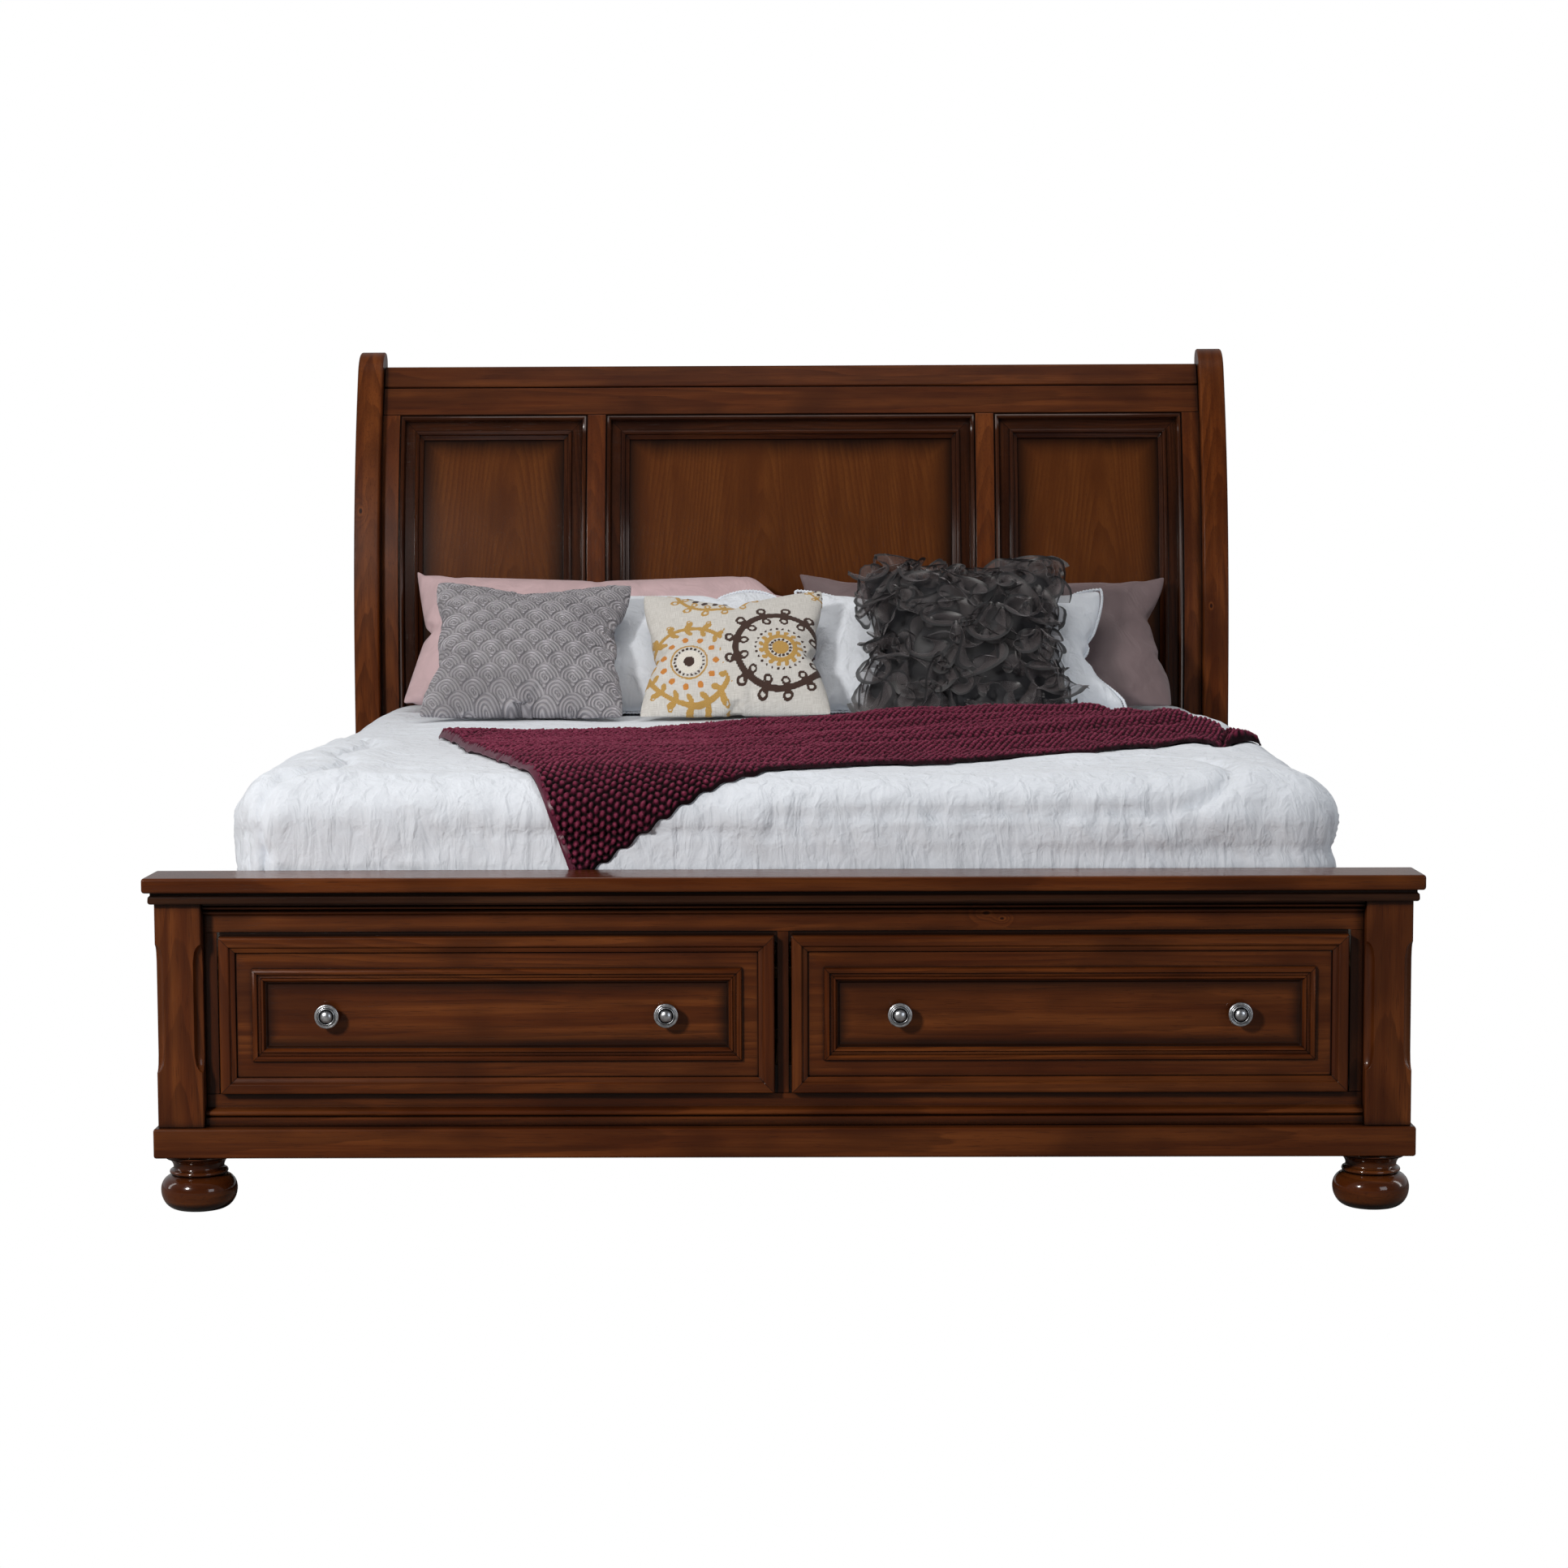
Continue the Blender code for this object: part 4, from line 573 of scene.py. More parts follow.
def knob(node, material):
    low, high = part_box(node)
    rim, reach = (high.x - low.x) / 2, high.y - low.y
    centre = ((low.x + high.x) / 2, high.y, (low.z + high.z) / 2)
    profile = [(0.0100, 0.0), (0.0104, 0.0012), (0.0100, 0.003)]
    profile += arc((0.0100, 0.0085), (0.0042, 0.0055), 270, 180, 6)
    profile += [(0.0062, 0.0120), (0.0085, 0.0148), (rim - 0.006, 0.0172)]
    profile += arc((rim - 0.0022, reach - 0.0105), (0.0022, 0.0024), -60, 110, 8)
    profile += arc((rim - 0.0052, reach - 0.0088), (0.0012, 0.0012), 20, 160, 4)
    profile += arc((rim - 0.0075, reach - 0.0070), (0.0011, 0.0014), 10, 170, 5)
    profile += [(rim - 0.0090, reach - 0.0078)]
    profile += arc((0.0, reach - 0.0062), (rim - 0.0104, 0.0062), 8, 86, 10)
    turned(node, profile, centre, "y", KNOB_SIDES, material)


def drawer_gap_shade_blocks():
    """Dark strips behind the gaps over and between the drawer fronts, which the fronts close against: they stand in
    for the shade behind the gaps, so the white floor does not show through them.
    """
    # a dark moulding tone, so that the blocks read as the shade in the gaps round the fronts
    finish = wood("drawer_gap_shade_blocks", MOULDING, "x", (0.0, 0.0, 0.45), 59.0, 0.03, 0.012)
    front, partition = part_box("drawer_front_left"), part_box("case_partition")
    rail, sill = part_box("footboard_top_rail"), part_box("footboard_sill_rail")
    behind = front[1].y + SHADE_BLOCK_GAP
    half = -front[0].x + SHADE_BLOCK_GAP
    top = (-half, behind, front[1].z - SHADE_BLOCK_LAP), (half, behind + SHADE_BLOCK_DEPTH, rail[0].z)
    reach = partition[1].x + SHADE_BLOCK_LAP + SHADE_BLOCK_GAP
    foot = (-reach, behind, sill[1].z), (reach, behind + SHADE_BLOCK_DEPTH, sill[1].z + SHADE_BLOCK_LAP)
    upright = (-OPENING_LAP - partition[1].x, behind, foot[1][2]), (
        partition[1].x + OPENING_LAP, behind + SHADE_BLOCK_DEPTH, foot[1][2] + SHADE_BLOCK_RISE)
    for name, (low, high) in (("top", top), ("foot", foot), ("middle", upright)):
        bm = bmesh.new()
        bmesh.ops.create_cube(bm, size=1.0)
        for vertex in bm.verts:
            vertex.co = [low[k] + (vertex.co[k] + 0.5) * (high[k] - low[k]) for k in range(3)]
        add_piece("drawer_gap_shade_block_" + name, bm, finish)


def drawers():
    # dark blocks that stand in for the shade behind the drawer gaps
    drawer_gap_shade_blocks()
    birch = wood("drawer_birch", BIRCH, "x", (0.4, -0.9, 0.3), 50.0, 0.02, 0.016, roughness=0.55,
                 finish={"Specular_IOR_Level": 0.3}, corners=False)
    metal = pewter()
    for i, side in enumerate(SIDES):
        drawer_finish(side, 43.0 + 9.0 * i)
        refined("drawer_box_" + side, birch, "drawer_birch", 0.001)
        for place in ("a", "b"):
            knob(f"drawer_knob_{side}_{place}", metal)
        for place in ("inner", "outer"):
            refined(f"drawer_runner_{side}_{place}", birch, "drawer_birch", 0.001)
        timber("case_side_" + side, "z", 60.0 + i, 0.1, 0.011)
    timber("case_partition", "z", 63.0, 0.1, 0.011)
    refined("case_back", birch, "drawer_birch", 0.001)


def frame_under_mattress():
    pine = wood("pine", PINE, "x", (0.0, 0.0, 0.38), 70.0, 0.05, 0.014, knots=((0.0, 0.35, 0.01),), roughness=0.62,
                finish={"Specular_IOR_Level": 0.25}, corners=False)
    pine_long = wood("pine_long", PINE, "y", (0.9, 0.2, 0.38), 73.0, 0.05, 0.012, roughness=0.62,
                     finish={"Specular_IOR_Level": 0.25}, corners=False)
    for i, side in enumerate(SIDES):
        timber("side_rail_" + side, "y", 65.0 + i, 0.03, 0.013, (0.0,))
        refined("slat_ledger_" + side, pine_long, "pine_slat", 0.0015)
    refined("centre_beam", pine_long, "pine_slat", 0.002)
    refined("slat_roll", pine, "pine_slat", 0.002)
    for place in ("front", "rear"):
        refined("centre_leg_" + place, pine_long, "pine_slat", 0.002, 2, 40.0)


# ---------------------------------------------------------------- tools for the bedding
NOISE_TABLE = 64


def value_noise(u, v, seed):
    """Smooth 2-D noise from -1 to 1 at arrays of places one unit apart."""
    size = NOISE_TABLE
    table = np.random.default_rng(seed).uniform(-1.0, 1.0, (size, size))
    i, j = np.floor(u).astype(int), np.floor(v).astype(int)
    f, g = u - i, v - j
    f, g = f * f * (3 - 2 * f), g * g * (3 - 2 * g)
    corner = [[table[(i + a) % size, (j + b) % size] for b in (0, 1)] for a in (0, 1)]
    low = corner[0][0] * (1 - f) + corner[1][0] * f
    high = corner[0][1] * (1 - f) + corner[1][1] * f
    return low * (1 - g) + high * g


def smooth_step(value, low, high):
    share = np.clip((value - low) / (high - low), 0.0, 1.0)
    return share * share * (3 - 2 * share)


def bell(value, middle_value, width):
    """A smooth bump of height 1."""
    return np.exp(-((value - middle_value) / width) ** 2)


def distance_to_line(s, t, line):
    """Distance of each (s, t) to a polyline."""
    best = np.full(s.shape, 10.0)
    for (s0, t0), (s1, t1) in zip(line, line[1:]):
        run, rise = s1 - s0, t1 - t0
        share = np.clip(((s - s0) * run + (t - t0) * rise) / (run * run + rise * rise), 0.0, 1.0)
        best = np.minimum(best, np.hypot(s - s0 - share * run, t - t0 - share * rise))
    return best


def smooth_line(points, steps=8):
    """A Catmull-Rom curve through points, as a finer list."""
    ends = [points[0]] + list(points) + [points[-1]]
    line = []
    for a, b, c, d in zip(ends, ends[1:], ends[2:], ends[3:]):
        for k in range(steps):
            x = k / steps
            line.append(tuple(0.5 * (2 * q + (r - p) * x + (2 * p - 5 * q + 4 * r - s) * x * x
                                     + (3 * q - p - 3 * r + s) * x ** 3) for p, q, r, s in zip(a, b, c, d)))
    return line + [tuple(points[-1])]


def grid_quads(rows, columns):
    index = np.arange(rows * columns).reshape(rows, columns)
    return np.stack([index[:-1, :-1], index[:-1, 1:], index[1:, 1:], index[1:, :-1]], -1).reshape(-1, 4)


def surface_piece(name, points, quads, material, body="bed", uv=None, numbers=None):
    """A smooth mesh object from arrays of points and quads, with a UV map and named point values."""
    mesh = bpy.data.meshes.new(name)
    mesh.from_pydata(points.reshape(-1, 3).tolist(), [], quads.tolist())
    mesh.shade_smooth()
    if uv is not None:
        layer = mesh.uv_layers.new(name="cloth")
        corners = np.empty(len(mesh.loops), dtype=np.int32)
        mesh.loops.foreach_get("vertex_index", corners)
        layer.data.foreach_set("uv", uv.reshape(-1, 2)[corners].ravel())
    for key, values in (numbers or {}).items():
        mesh.attributes.new(key, "FLOAT", "POINT").data.foreach_set("value", np.ravel(values))
    mesh.materials.append(material)
    piece = bpy.data.objects.new(name, mesh)
    bpy.context.scene.collection.objects.link(piece)
    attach(piece, body)
    return piece


def point_uvs(mesh):
    """Each point's place in the mesh's first UV map."""
    corners = np.empty(len(mesh.loops), dtype=np.int32)
    mesh.loops.foreach_get("vertex_index", corners)
    layer = np.empty(len(mesh.loops) * 2)
    mesh.uv_layers[0].data.foreach_get("uv", layer)
    uv = np.zeros((len(mesh.vertices), 2))
    uv[corners] = layer.reshape(-1, 2)
    return uv


def rim_loop(grid):
    """The points round the edge of a grid, in order."""
    return np.concatenate([grid[0, :-1], grid[:-1, -1], grid[-1, :0:-1], grid[:0:-1, 0]])


def unit(vectors):
    return vectors / np.linalg.norm(vectors, axis=1, keepdims=True)


def grid_normals(spots):
    along = np.gradient(spots, axis=1)
    up = np.gradient(spots, axis=0)
    normal = np.cross(along, up)
    return normal / np.maximum(np.linalg.norm(normal, axis=-1, keepdims=True), 1e-9)


# ---------------------------------------------------------------- comforter
COVER_LOW, COVER_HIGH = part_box("comforter")
COVER_INSET = 0.008                   # the comforter's puffed surface swells out by this again
COVER_THICKNESS = 0.010
COTTON_TINT = (0.84, 0.882, 0.945)
SHOULDER = 0.095                      # radius of its rounded upper edges
COVER_HALF = COVER_HIGH.x - COVER_INSET - SHOULDER
COVER_FRONT = COVER_LOW.y + COVER_INSET + SHOULDER
COVER_TOP = COVER_HIGH.z - 0.006
COVER_DROP = math.pi * SHOULDER / 2 + COVER_TOP - SHOULDER - COVER_LOW.z
GRID = 0.011

# stitched lines of the comforter, unrolled: across the bed, along the bed
SEAMS = (
    smooth_line([(-0.02, -1.090), (0.25, -1.086), (0.52, -1.084), (0.70, -1.076), (0.775, -1.03), (0.790, -0.93),
                 (0.745, -0.80), (0.62, -0.745), (0.47, -0.79)]),
    smooth_line([(-0.955, -1.20), (-0.945, -1.10), (-0.90, -1.01), (-0.83, -0.95), (-0.80, -0.80), (-0.84, -0.60),
                 (-0.80, -0.38), (-0.86, -0.12)]),
    smooth_line([(0.80, -0.52), (0.86, -0.30), (0.80, -0.02), (0.87, 0.25), (0.82, 0.60)]),
)


# heights in metres of the comforter's swells and creases
SWELL, DIMPLE, CRUMPLE = 0.0065, 0.0022, 0.0045
STITCH_DEPTH, STITCH_WIDTH = 0.0105, 0.0075
SEAM_SWELL, SEAM_SWELL_AWAY, SEAM_SWELL_WIDTH = 0.0070, 0.045, 0.030
PUCKER, PUCKER_WIDTH = 0.0046, 0.030
HANGING_FROM, HANGING_BELOW = 0.06, 0.16     # below the top, where its folds start and are full
FOLD, WRINKLE = 0.0062, 0.0030
ROLLS = ((0.0060, 0.125, 0.045), (0.0050, 0.228, 0.026))     # height, place below the top, width
TUCK_DEPTH, TUCK_LEVEL, TUCK_WIDTH = 0.0075, 0.188, 0.013
CREASE_LEVELS = (0.158, 0.232)
CREASE_DEPTH, CREASE_WIDTH = 0.0050, 0.0045
CREASE_PUCKER, CREASE_PUCKER_WIDTH = 0.0028, 0.022
# how much the comforter narrows at the foot, as shares of its width, and where along the bed it does
NARROWING_LEFT, NARROWING_RIGHT = 0.023, 0.017
NARROWING_ALONG = (-0.95, -0.45)


def cover_relief(s, t, down):
    """How far the comforter swells above its plain shape."""
    relief = SWELL * value_noise(s * 3.1, t * 2.7, 1) + DIMPLE * value_noise(s * 9 + t * 4, t * 8, 2)
    creases = 1 - np.abs(value_noise(s * 5.2 + 1.5 * value_noise(s * 2, t * 2, 9), t * 12.5, 3))
    relief -= CRUMPLE * creases ** 7
    pucker = value_noise(s * 62, t * 62, 4) + 0.8 * value_noise(s * 31, t * 31, 14)
    for line in SEAMS:
        away = distance_to_line(s, t, line)
        relief -= STITCH_DEPTH * bell(away, 0.0, STITCH_WIDTH)
        relief += SEAM_SWELL * bell(away, SEAM_SWELL_AWAY, SEAM_SWELL_WIDTH)
        relief += PUCKER * pucker * bell(away, 0.0, PUCKER_WIDTH)
    hanging = smooth_step(down, HANGING_FROM, HANGING_BELOW)
    around = s + t
    folds = value_noise(around * 21 + 0.8 * value_noise(s * 5, down * 6, 5), down * 2.6, 6)
    relief += hanging * (FOLD * folds + WRINKLE * value_noise(around * 58, down * 7, 7))
    level = down + 0.010 * value_noise(around * 2.1, down * 0.5, 8)
    for height, place, width in ROLLS:
        relief += height * bell(level, place, width)
    relief -= TUCK_DEPTH * bell(level, TUCK_LEVEL, TUCK_WIDTH) * smooth_step(s, 0.0, 0.85)
    for crease in CREASE_LEVELS:
        relief -= CREASE_DEPTH * bell(level, crease, CREASE_WIDTH)
        relief += CREASE_PUCKER * value_noise(around * 44, down * 9, 15) * bell(level, crease, CREASE_PUCKER_WIDTH)
    return relief


def cover_surface(s, t, lift=0.0):
    """Places on the comforter, from unrolled coordinates: s across the bed and t along it."""
    side = np.maximum(np.abs(s) - COVER_HALF, 0.0)
    front = np.maximum(COVER_FRONT - t, 0.0)
    down = np.maximum(side, front)
    reach = np.maximum(np.hypot(side, front), 1e-9)
    x_out, y_out = np.sign(s) * side / reach, -front / reach
    turn = np.minimum(down / SHOULDER, math.pi / 2)
    sine, cosine = np.sin(turn), np.cos(turn)
    hang = np.maximum(down - math.pi * SHOULDER / 2, 0.0)
    raised = cover_relief(s, t, down) + lift
    out = (SHOULDER + raised) * sine
    narrowing = np.where(s < 0, NARROWING_LEFT, NARROWING_RIGHT) * smooth_step(np.abs(s), 0.0, 0.5)
    narrowing = narrowing * (1 - smooth_step(t, *NARROWING_ALONG))
    x = (np.clip(s, -COVER_HALF, COVER_HALF) + x_out * out) * (1 - narrowing)
    y = np.maximum(t, COVER_FRONT) + y_out * out
    z = COVER_TOP - SHOULDER * (1 - cosine) - hang + raised * cosine
    return np.stack([x, y, z], -1)


def cotton(name, tint):
    """Washed white cotton: a fine weave, small creases and a little sheen."""
    n = Nodes(name, Roughness=0.82, Sheen_Weight=0.25, Sheen_Roughness=0.5, Specular_IOR_Level=0.2)
    spot = n.place()
    wave = n.add("TexWave", {"Vector": spot, "Scale": 900.0}, bands_direction="X").outputs[1]
    weft = n.add("TexWave", {"Vector": spot, "Scale": 900.0}, bands_direction="Z").outputs[1]
    weave = n.times(wave, weft)
    crumple = n.noise(spot, 26.0, 4.0, 0.6, 0.6)
    soft = n.noise(n.stretch(spot, (34.0, 34.0, 9.0)), 1.0, 3.0, 0.5, 0.6)
    shade = n.mix(n.step(crumple, 0.25, 0.75), tuple(c * 0.95 for c in tint), tint)
    shade = n.mix(n.step(soft, 0.3, 0.8), shade, tuple(min(c * 1.03, 1.0) for c in tint))
    normal = n.bump(crumple, 0.0080, 0.45, n.bump(soft, 0.0180, 0.55))
    normal = n.bump(weave, 0.00012, 0.4, normal)
    return n.finish(shade, None, normal)


def comforter(material):
    across = np.linspace(-COVER_HALF - COVER_DROP, COVER_HALF + COVER_DROP,
                         int(2 * (COVER_HALF + COVER_DROP) / GRID))
    along = np.linspace(COVER_FRONT - COVER_DROP, COVER_HIGH.y, int((COVER_HIGH.y - COVER_FRONT + COVER_DROP) / GRID))
    s, t = np.meshgrid(across, along)
    spots = cover_surface(s, t)
    piece = surface_piece("comforter_cloth", spots, grid_quads(*s.shape), material)
    thick = piece.modifiers.new("filling", "SOLIDIFY")
    thick.thickness = COVER_THICKNESS
    thick.offset = -1.0
    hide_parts("comforter")


# ---------------------------------------------------------------- throw
THROW_FLAT = (1.27, 1.52)             # a usual blanket of 50 by 60 inches
THROW_PITCH = 0.0152                  # between bobbles
THROW_STEP = 0.0032
THROW_BACK = 0.0035                   # thickness of the backing under the bobbles
THROW_TUFT, THROW_CURL = 0.0090, 0.0022      # heights of the bobbles and of their curls
THROW_BELLIES = (0.050, 0.160)        # how far its near and far edges sag towards the foot
THROW_FOLDS, THROW_RIPPLES = 4.0, 9.0
FOLD_HEIGHT, RIPPLE_SHARE = 0.026, 0.30
SCALLOPED_EDGE, SCALLOPED_PITCH = 0.004, 0.045
BINDING_WIDTH = 0.0085                # as a share of the throw's length
THROW_CORNERS = ((-0.387, -1.205), (0.920, -0.360), (0.655, 0.330), (-0.680, -0.060))


def throw_plan(a, b):
    """Unrolled place on the bed of a point of the throw; a runs along it and b across it, 0 to 1."""
    (s0, t0), (s1, t1), (s2, t2), (s3, t3) = THROW_CORNERS
    s = (1 - b) * ((1 - a) * s0 + a * s1) + b * ((1 - a) * s3 + a * s2)
    t = (1 - b) * ((1 - a) * t0 + a * t1) + b * ((1 - a) * t3 + a * t2)
    belly = np.sin(math.pi * a)
    t = t - THROW_BELLIES[0] * belly * (1 - b) * smooth_step(a, 0.25, 1.0) - THROW_BELLIES[1] * belly * b
    s = s - 0.045 * np.sin(math.pi * b) * (1 - a) ** 3 - 0.030 * smooth_step(b, 0.80, 1.0) * (1 - a) ** 6
    s = s + 0.022 * (1 - b) * (1 - a) ** 8
    scallop = SCALLOPED_EDGE * np.sin(a * 2 * math.pi * THROW_FLAT[1] / SCALLOPED_PITCH) * (1 - b) ** 12
    return s, t + scallop


def throw_folds(a, b):
    """Height of the throw's long folds, gathered towards its far right end."""
    gather = smooth_step(a, 0.22, 0.70)
    wander = b + 0.035 * value_noise(a * 3.2, b * 1.5, 21)
    ridges = np.abs(np.sin(wander * math.pi * THROW_FOLDS)) ** 0.55
    ripple = b + 0.05 * value_noise(a * 2.3, b * 2.2, 25)
    ridges = ridges + RIPPLE_SHARE * np.abs(np.sin(ripple * math.pi * THROW_RIPPLES)) ** 0.7
    fade = smooth_step(b, 0.06, 0.30) * (1 - smooth_step(a, 0.93, 1.0))
    lift = FOLD_HEIGHT * ridges * (0.16 + 0.84 * gather) * fade
    lift += 0.004 * (1 + value_noise(a * 7, b * 5, 22)) * smooth_step(b, 0.0, 0.2)
    return lift + 0.014 * bell(a, 0.965, 0.025)


def chenille():
    """Burgundy pile: painted shade between the bobbles, with a painted pink highlight on their tips."""
    n = Nodes("burgundy_plush", Roughness=0.85, Sheen_Weight=0.14, Sheen_Roughness=0.35,
              Sheen_Tint=(1.0, 0.45, 0.58, 1.0), Specular_IOR_Level=0.15)
    tuft = n.add("Attribute", attribute_name="tuft").outputs["Fac"]
    spot = n.place()
    fuzz = n.noise(spot, 520.0, 3.0, 0.7)
    patch = n.noise(spot, 9.0, 2.0)
    # painted shade and light: near black where the stored bobble height is low, burgundy on the bobbles
    colour = n.mix(n.step(tuft, 0.35, 0.95), (0.0045, 0.0004, 0.0014), (0.195, 0.0175, 0.054))
    # painted pink highlight on the bobbles' tips
    colour = n.mix(n.times(n.step(tuft, 0.70, 1.0), n.step(fuzz, 0.35, 0.70)), colour,
                   (0.380, 0.080, 0.140))
    colour = n.mix(n.times(n.step(patch, 0.4, 0.7), 0.25), colour, (0.050, 0.004, 0.015))
    # painted shade in the valleys between folds and bobbles, by ambient occlusion
    colour = crevice_shade_and_patina(n, colour, (0.0040, 0.0003, 0.0012), 0.030, 0.72)
    return n.finish(colour, None, n.bump(fuzz, 0.0012, 0.8))


def satin(name, tint):
    n = Nodes(name, Roughness=0.38, Anisotropic=0.4, Specular_IOR_Level=0.45)
    spot = n.place()
    threads = n.noise(n.stretch(spot, (700.0, 90.0, 90.0)), 1.0, 2.0)
    colour = n.mix(n.step(threads, 0.3, 0.7), tint, tuple(c * 1.5 for c in tint))
    return n.finish(colour, None, n.bump(threads, 0.0002, 0.5))


def throw():
    columns, rows = int(THROW_FLAT[1] / THROW_STEP), int(THROW_FLAT[0] / THROW_STEP)
    a, b = np.meshgrid(np.linspace(0, 1, columns), np.linspace(0, 1, rows))
    s, t = throw_plan(a, b)
    lift = throw_folds(a, b)
    along, across = a * THROW_FLAT[1] / THROW_PITCH, b * THROW_FLAT[0] / (THROW_PITCH * 0.90)
    row = np.floor(across)
    u = along + 0.5 * (row % 2) + 0.10 * value_noise(along * 0.31, across * 0.31, 23)
    from_centre = np.hypot(u - np.round(u), (across - row - 0.5) * 0.90) / 0.5
    size = 1.0 + 0.16 * value_noise(np.round(u) * 0.73 + row * 5.1, row * 0.83, 24)
    tuft = np.clip(1 - from_centre ** 2.2 / size, 0.0, 1.0) ** 0.6
    edge = np.minimum(np.minimum(a, 1 - a) * THROW_FLAT[1], np.minimum(b, 1 - b) * THROW_FLAT[0])
    rim = smooth_step(edge, 0.0, 0.010)
    curls = value_noise(along * 2.9, across * 2.9, 26) + 0.6 * value_noise(along * 6.1, across * 6.1, 27)
    lift = THROW_BACK + (lift + (THROW_TUFT + THROW_CURL * curls) * tuft + 0.002) * rim
    spots = cover_surface(s, t, lift)
    uv = np.stack([a * THROW_FLAT[1], b * THROW_FLAT[0]], -1)
    piece = surface_piece("throw_cloth", spots, grid_quads(rows, columns), chenille(), uv=uv,
                          numbers={"tuft": tuft * rim})
    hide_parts("throw")
    binding = throw_binding()


def throw_binding():
    """A satin ribbon folded over the throw's left edge."""
    along = np.linspace(0, 1, 300)
    section = [math.pi * k / 8 for k in range(9)]
    rows = []
    for turn in section:
        a = np.full_like(along, BINDING_WIDTH * (1 - math.sin(turn)))
        s, t = throw_plan(a, along)
        lift = THROW_BACK + throw_folds(a, along) * smooth_step(a * THROW_FLAT[1], 0.0, 0.010)
        lift = lift + 0.0048 * (1 - math.cos(turn)) + 0.0012 * value_noise(along * 60, along * 0, 25) - 0.002
        rows.append(cover_surface(s, t, lift))
    return surface_piece("throw_binding", np.stack(rows), grid_quads(len(section), len(along)),
                         satin("burgundy_satin", (0.075, 0.006, 0.022)))


# ---------------------------------------------------------------- pillows
PILLOW_TILT = math.radians(44.0)      # from the vertical
BAG_FRAMES = 26
BAG_CLOTH = {"quality": 5, "mass": 0.25, "air_damping": 2.0, "bending_stiffness": 0.05, "use_pressure": True}
BAG_SHEAR = 0.4                       # shear stiffness, as a share of the cloth's stiffness
BAG_CROWN = 0.35                      # of its thickness, before it is blown up
BAG_CELLS = 8                         # least cells across a bag
PILLOW_SETTLE = 0.9                   # how much of its foot's curve a pillow loses as it settles
PILLOW_SETTLE_TO = 0.45               # share of its height up to which it settles
PILLOW_SINK = 0.004                   # into the comforter
PILLOW_SQUASH = 0.020                 # height over which a pillow's foot flattens
CORD_SIDES = 8
PATTERN_EDGE = 0.012                  # over which a raised pattern fades out at the seams


def bag_points(columns, rows, size, crown, corner):
    """Front and back sheets of a pillow bag, as arrays of (x, y, z), which share their rim."""
    width, height, thickness = size
    u, v = np.meshgrid(np.linspace(-1, 1, columns + 1), np.linspace(-1, 1, rows + 1))
    swell = crown * thickness / 2 * np.sqrt(np.maximum((1 - u ** 4) * (1 - v ** 4), 0.0))
    x = (width / 2 - corner * v ** 8) * u
    y = (height / 2 - corner * u ** 8) * v
    return [np.stack([x, y, face * swell], -1) for face in (1, -1)]


def bag_mesh(sheets):
    """One closed mesh of two sheets: its points, its quads and each sheet point's index."""
    rows, columns = sheets[0].shape[:2]
    front = np.arange(rows * columns).reshape(rows, columns)
    back = front.copy()
    back[1:-1, 1:-1] = rows * columns + np.arange((rows - 2) * (columns - 2)).reshape(rows - 2, columns - 2)
    points = np.concatenate([sheets[0].reshape(-1, 3), sheets[1][1:-1, 1:-1].reshape(-1, 3)])
    quads = [np.stack([g[:-1, :-1], g[:-1, 1:], g[1:, 1:], g[1:, :-1]], -1).reshape(-1, 4) for g in (front, back)]
    return points, np.concatenate([quads[0], quads[1][:, ::-1]]), (front, back)


def inflate(bags):
    """Blow up bags of cloth together; bags maps a name to its size, cell, pressure, stiffness and rounding."""
    scene = bpy.context.scene
    made = {}
    for name, (size, cells, pressure, stiffness, corner) in bags.items():
        columns, rows = (max(int(side / cells), BAG_CELLS) for side in size[:2])
        sheets = bag_points(columns, rows, size, BAG_CROWN, corner)
        points, quads, index = bag_mesh(sheets)
        made[name] = [points, quads, index, None]
        mesh = bpy.data.meshes.new(name)
        mesh.from_pydata(points.tolist(), [], quads.tolist())
        bag = bpy.data.objects.new(name + "_bag", mesh)
        scene.collection.objects.link(bag)
        cloth = bag.modifiers.new("cloth", "CLOTH")
        for key, value in BAG_CLOTH.items():
            setattr(cloth.settings, key, value)
        cloth.settings.tension_stiffness = cloth.settings.compression_stiffness = stiffness
        cloth.settings.shear_stiffness = stiffness * BAG_SHEAR
        cloth.settings.uniform_pressure_force = pressure
        cloth.settings.effector_weights.gravity = 0.0
        cloth.collision_settings.use_collision = False
        cloth.point_cache.frame_start = 1
        cloth.point_cache.frame_end = BAG_FRAMES
        made[name][3] = bag
    for step in range(1, BAG_FRAMES + 1):
        scene.frame_set(step)
    graph = bpy.context.evaluated_depsgraph_get()
    for name, entry in made.items():
        bag = entry[3]
        result = bag.evaluated_get(graph).data
        spots = np.empty(len(result.vertices) * 3)
        result.vertices.foreach_get("co", spots)
        entry[0] = spots.reshape(-1, 3)
    for entry in made.values():
        bpy.data.objects.remove(entry[3], do_unlink=True)
    scene.frame_set(1)
    return {name: entry[:3] for name, entry in made.items()}


def fit_to(points, size):
    """Centre a blown-up bag and scale it to its width, height and thickness."""
    low, high = points.min(0), points.max(0)
    return (points - (low + high) / 2) * (np.array(size) / (high - low))


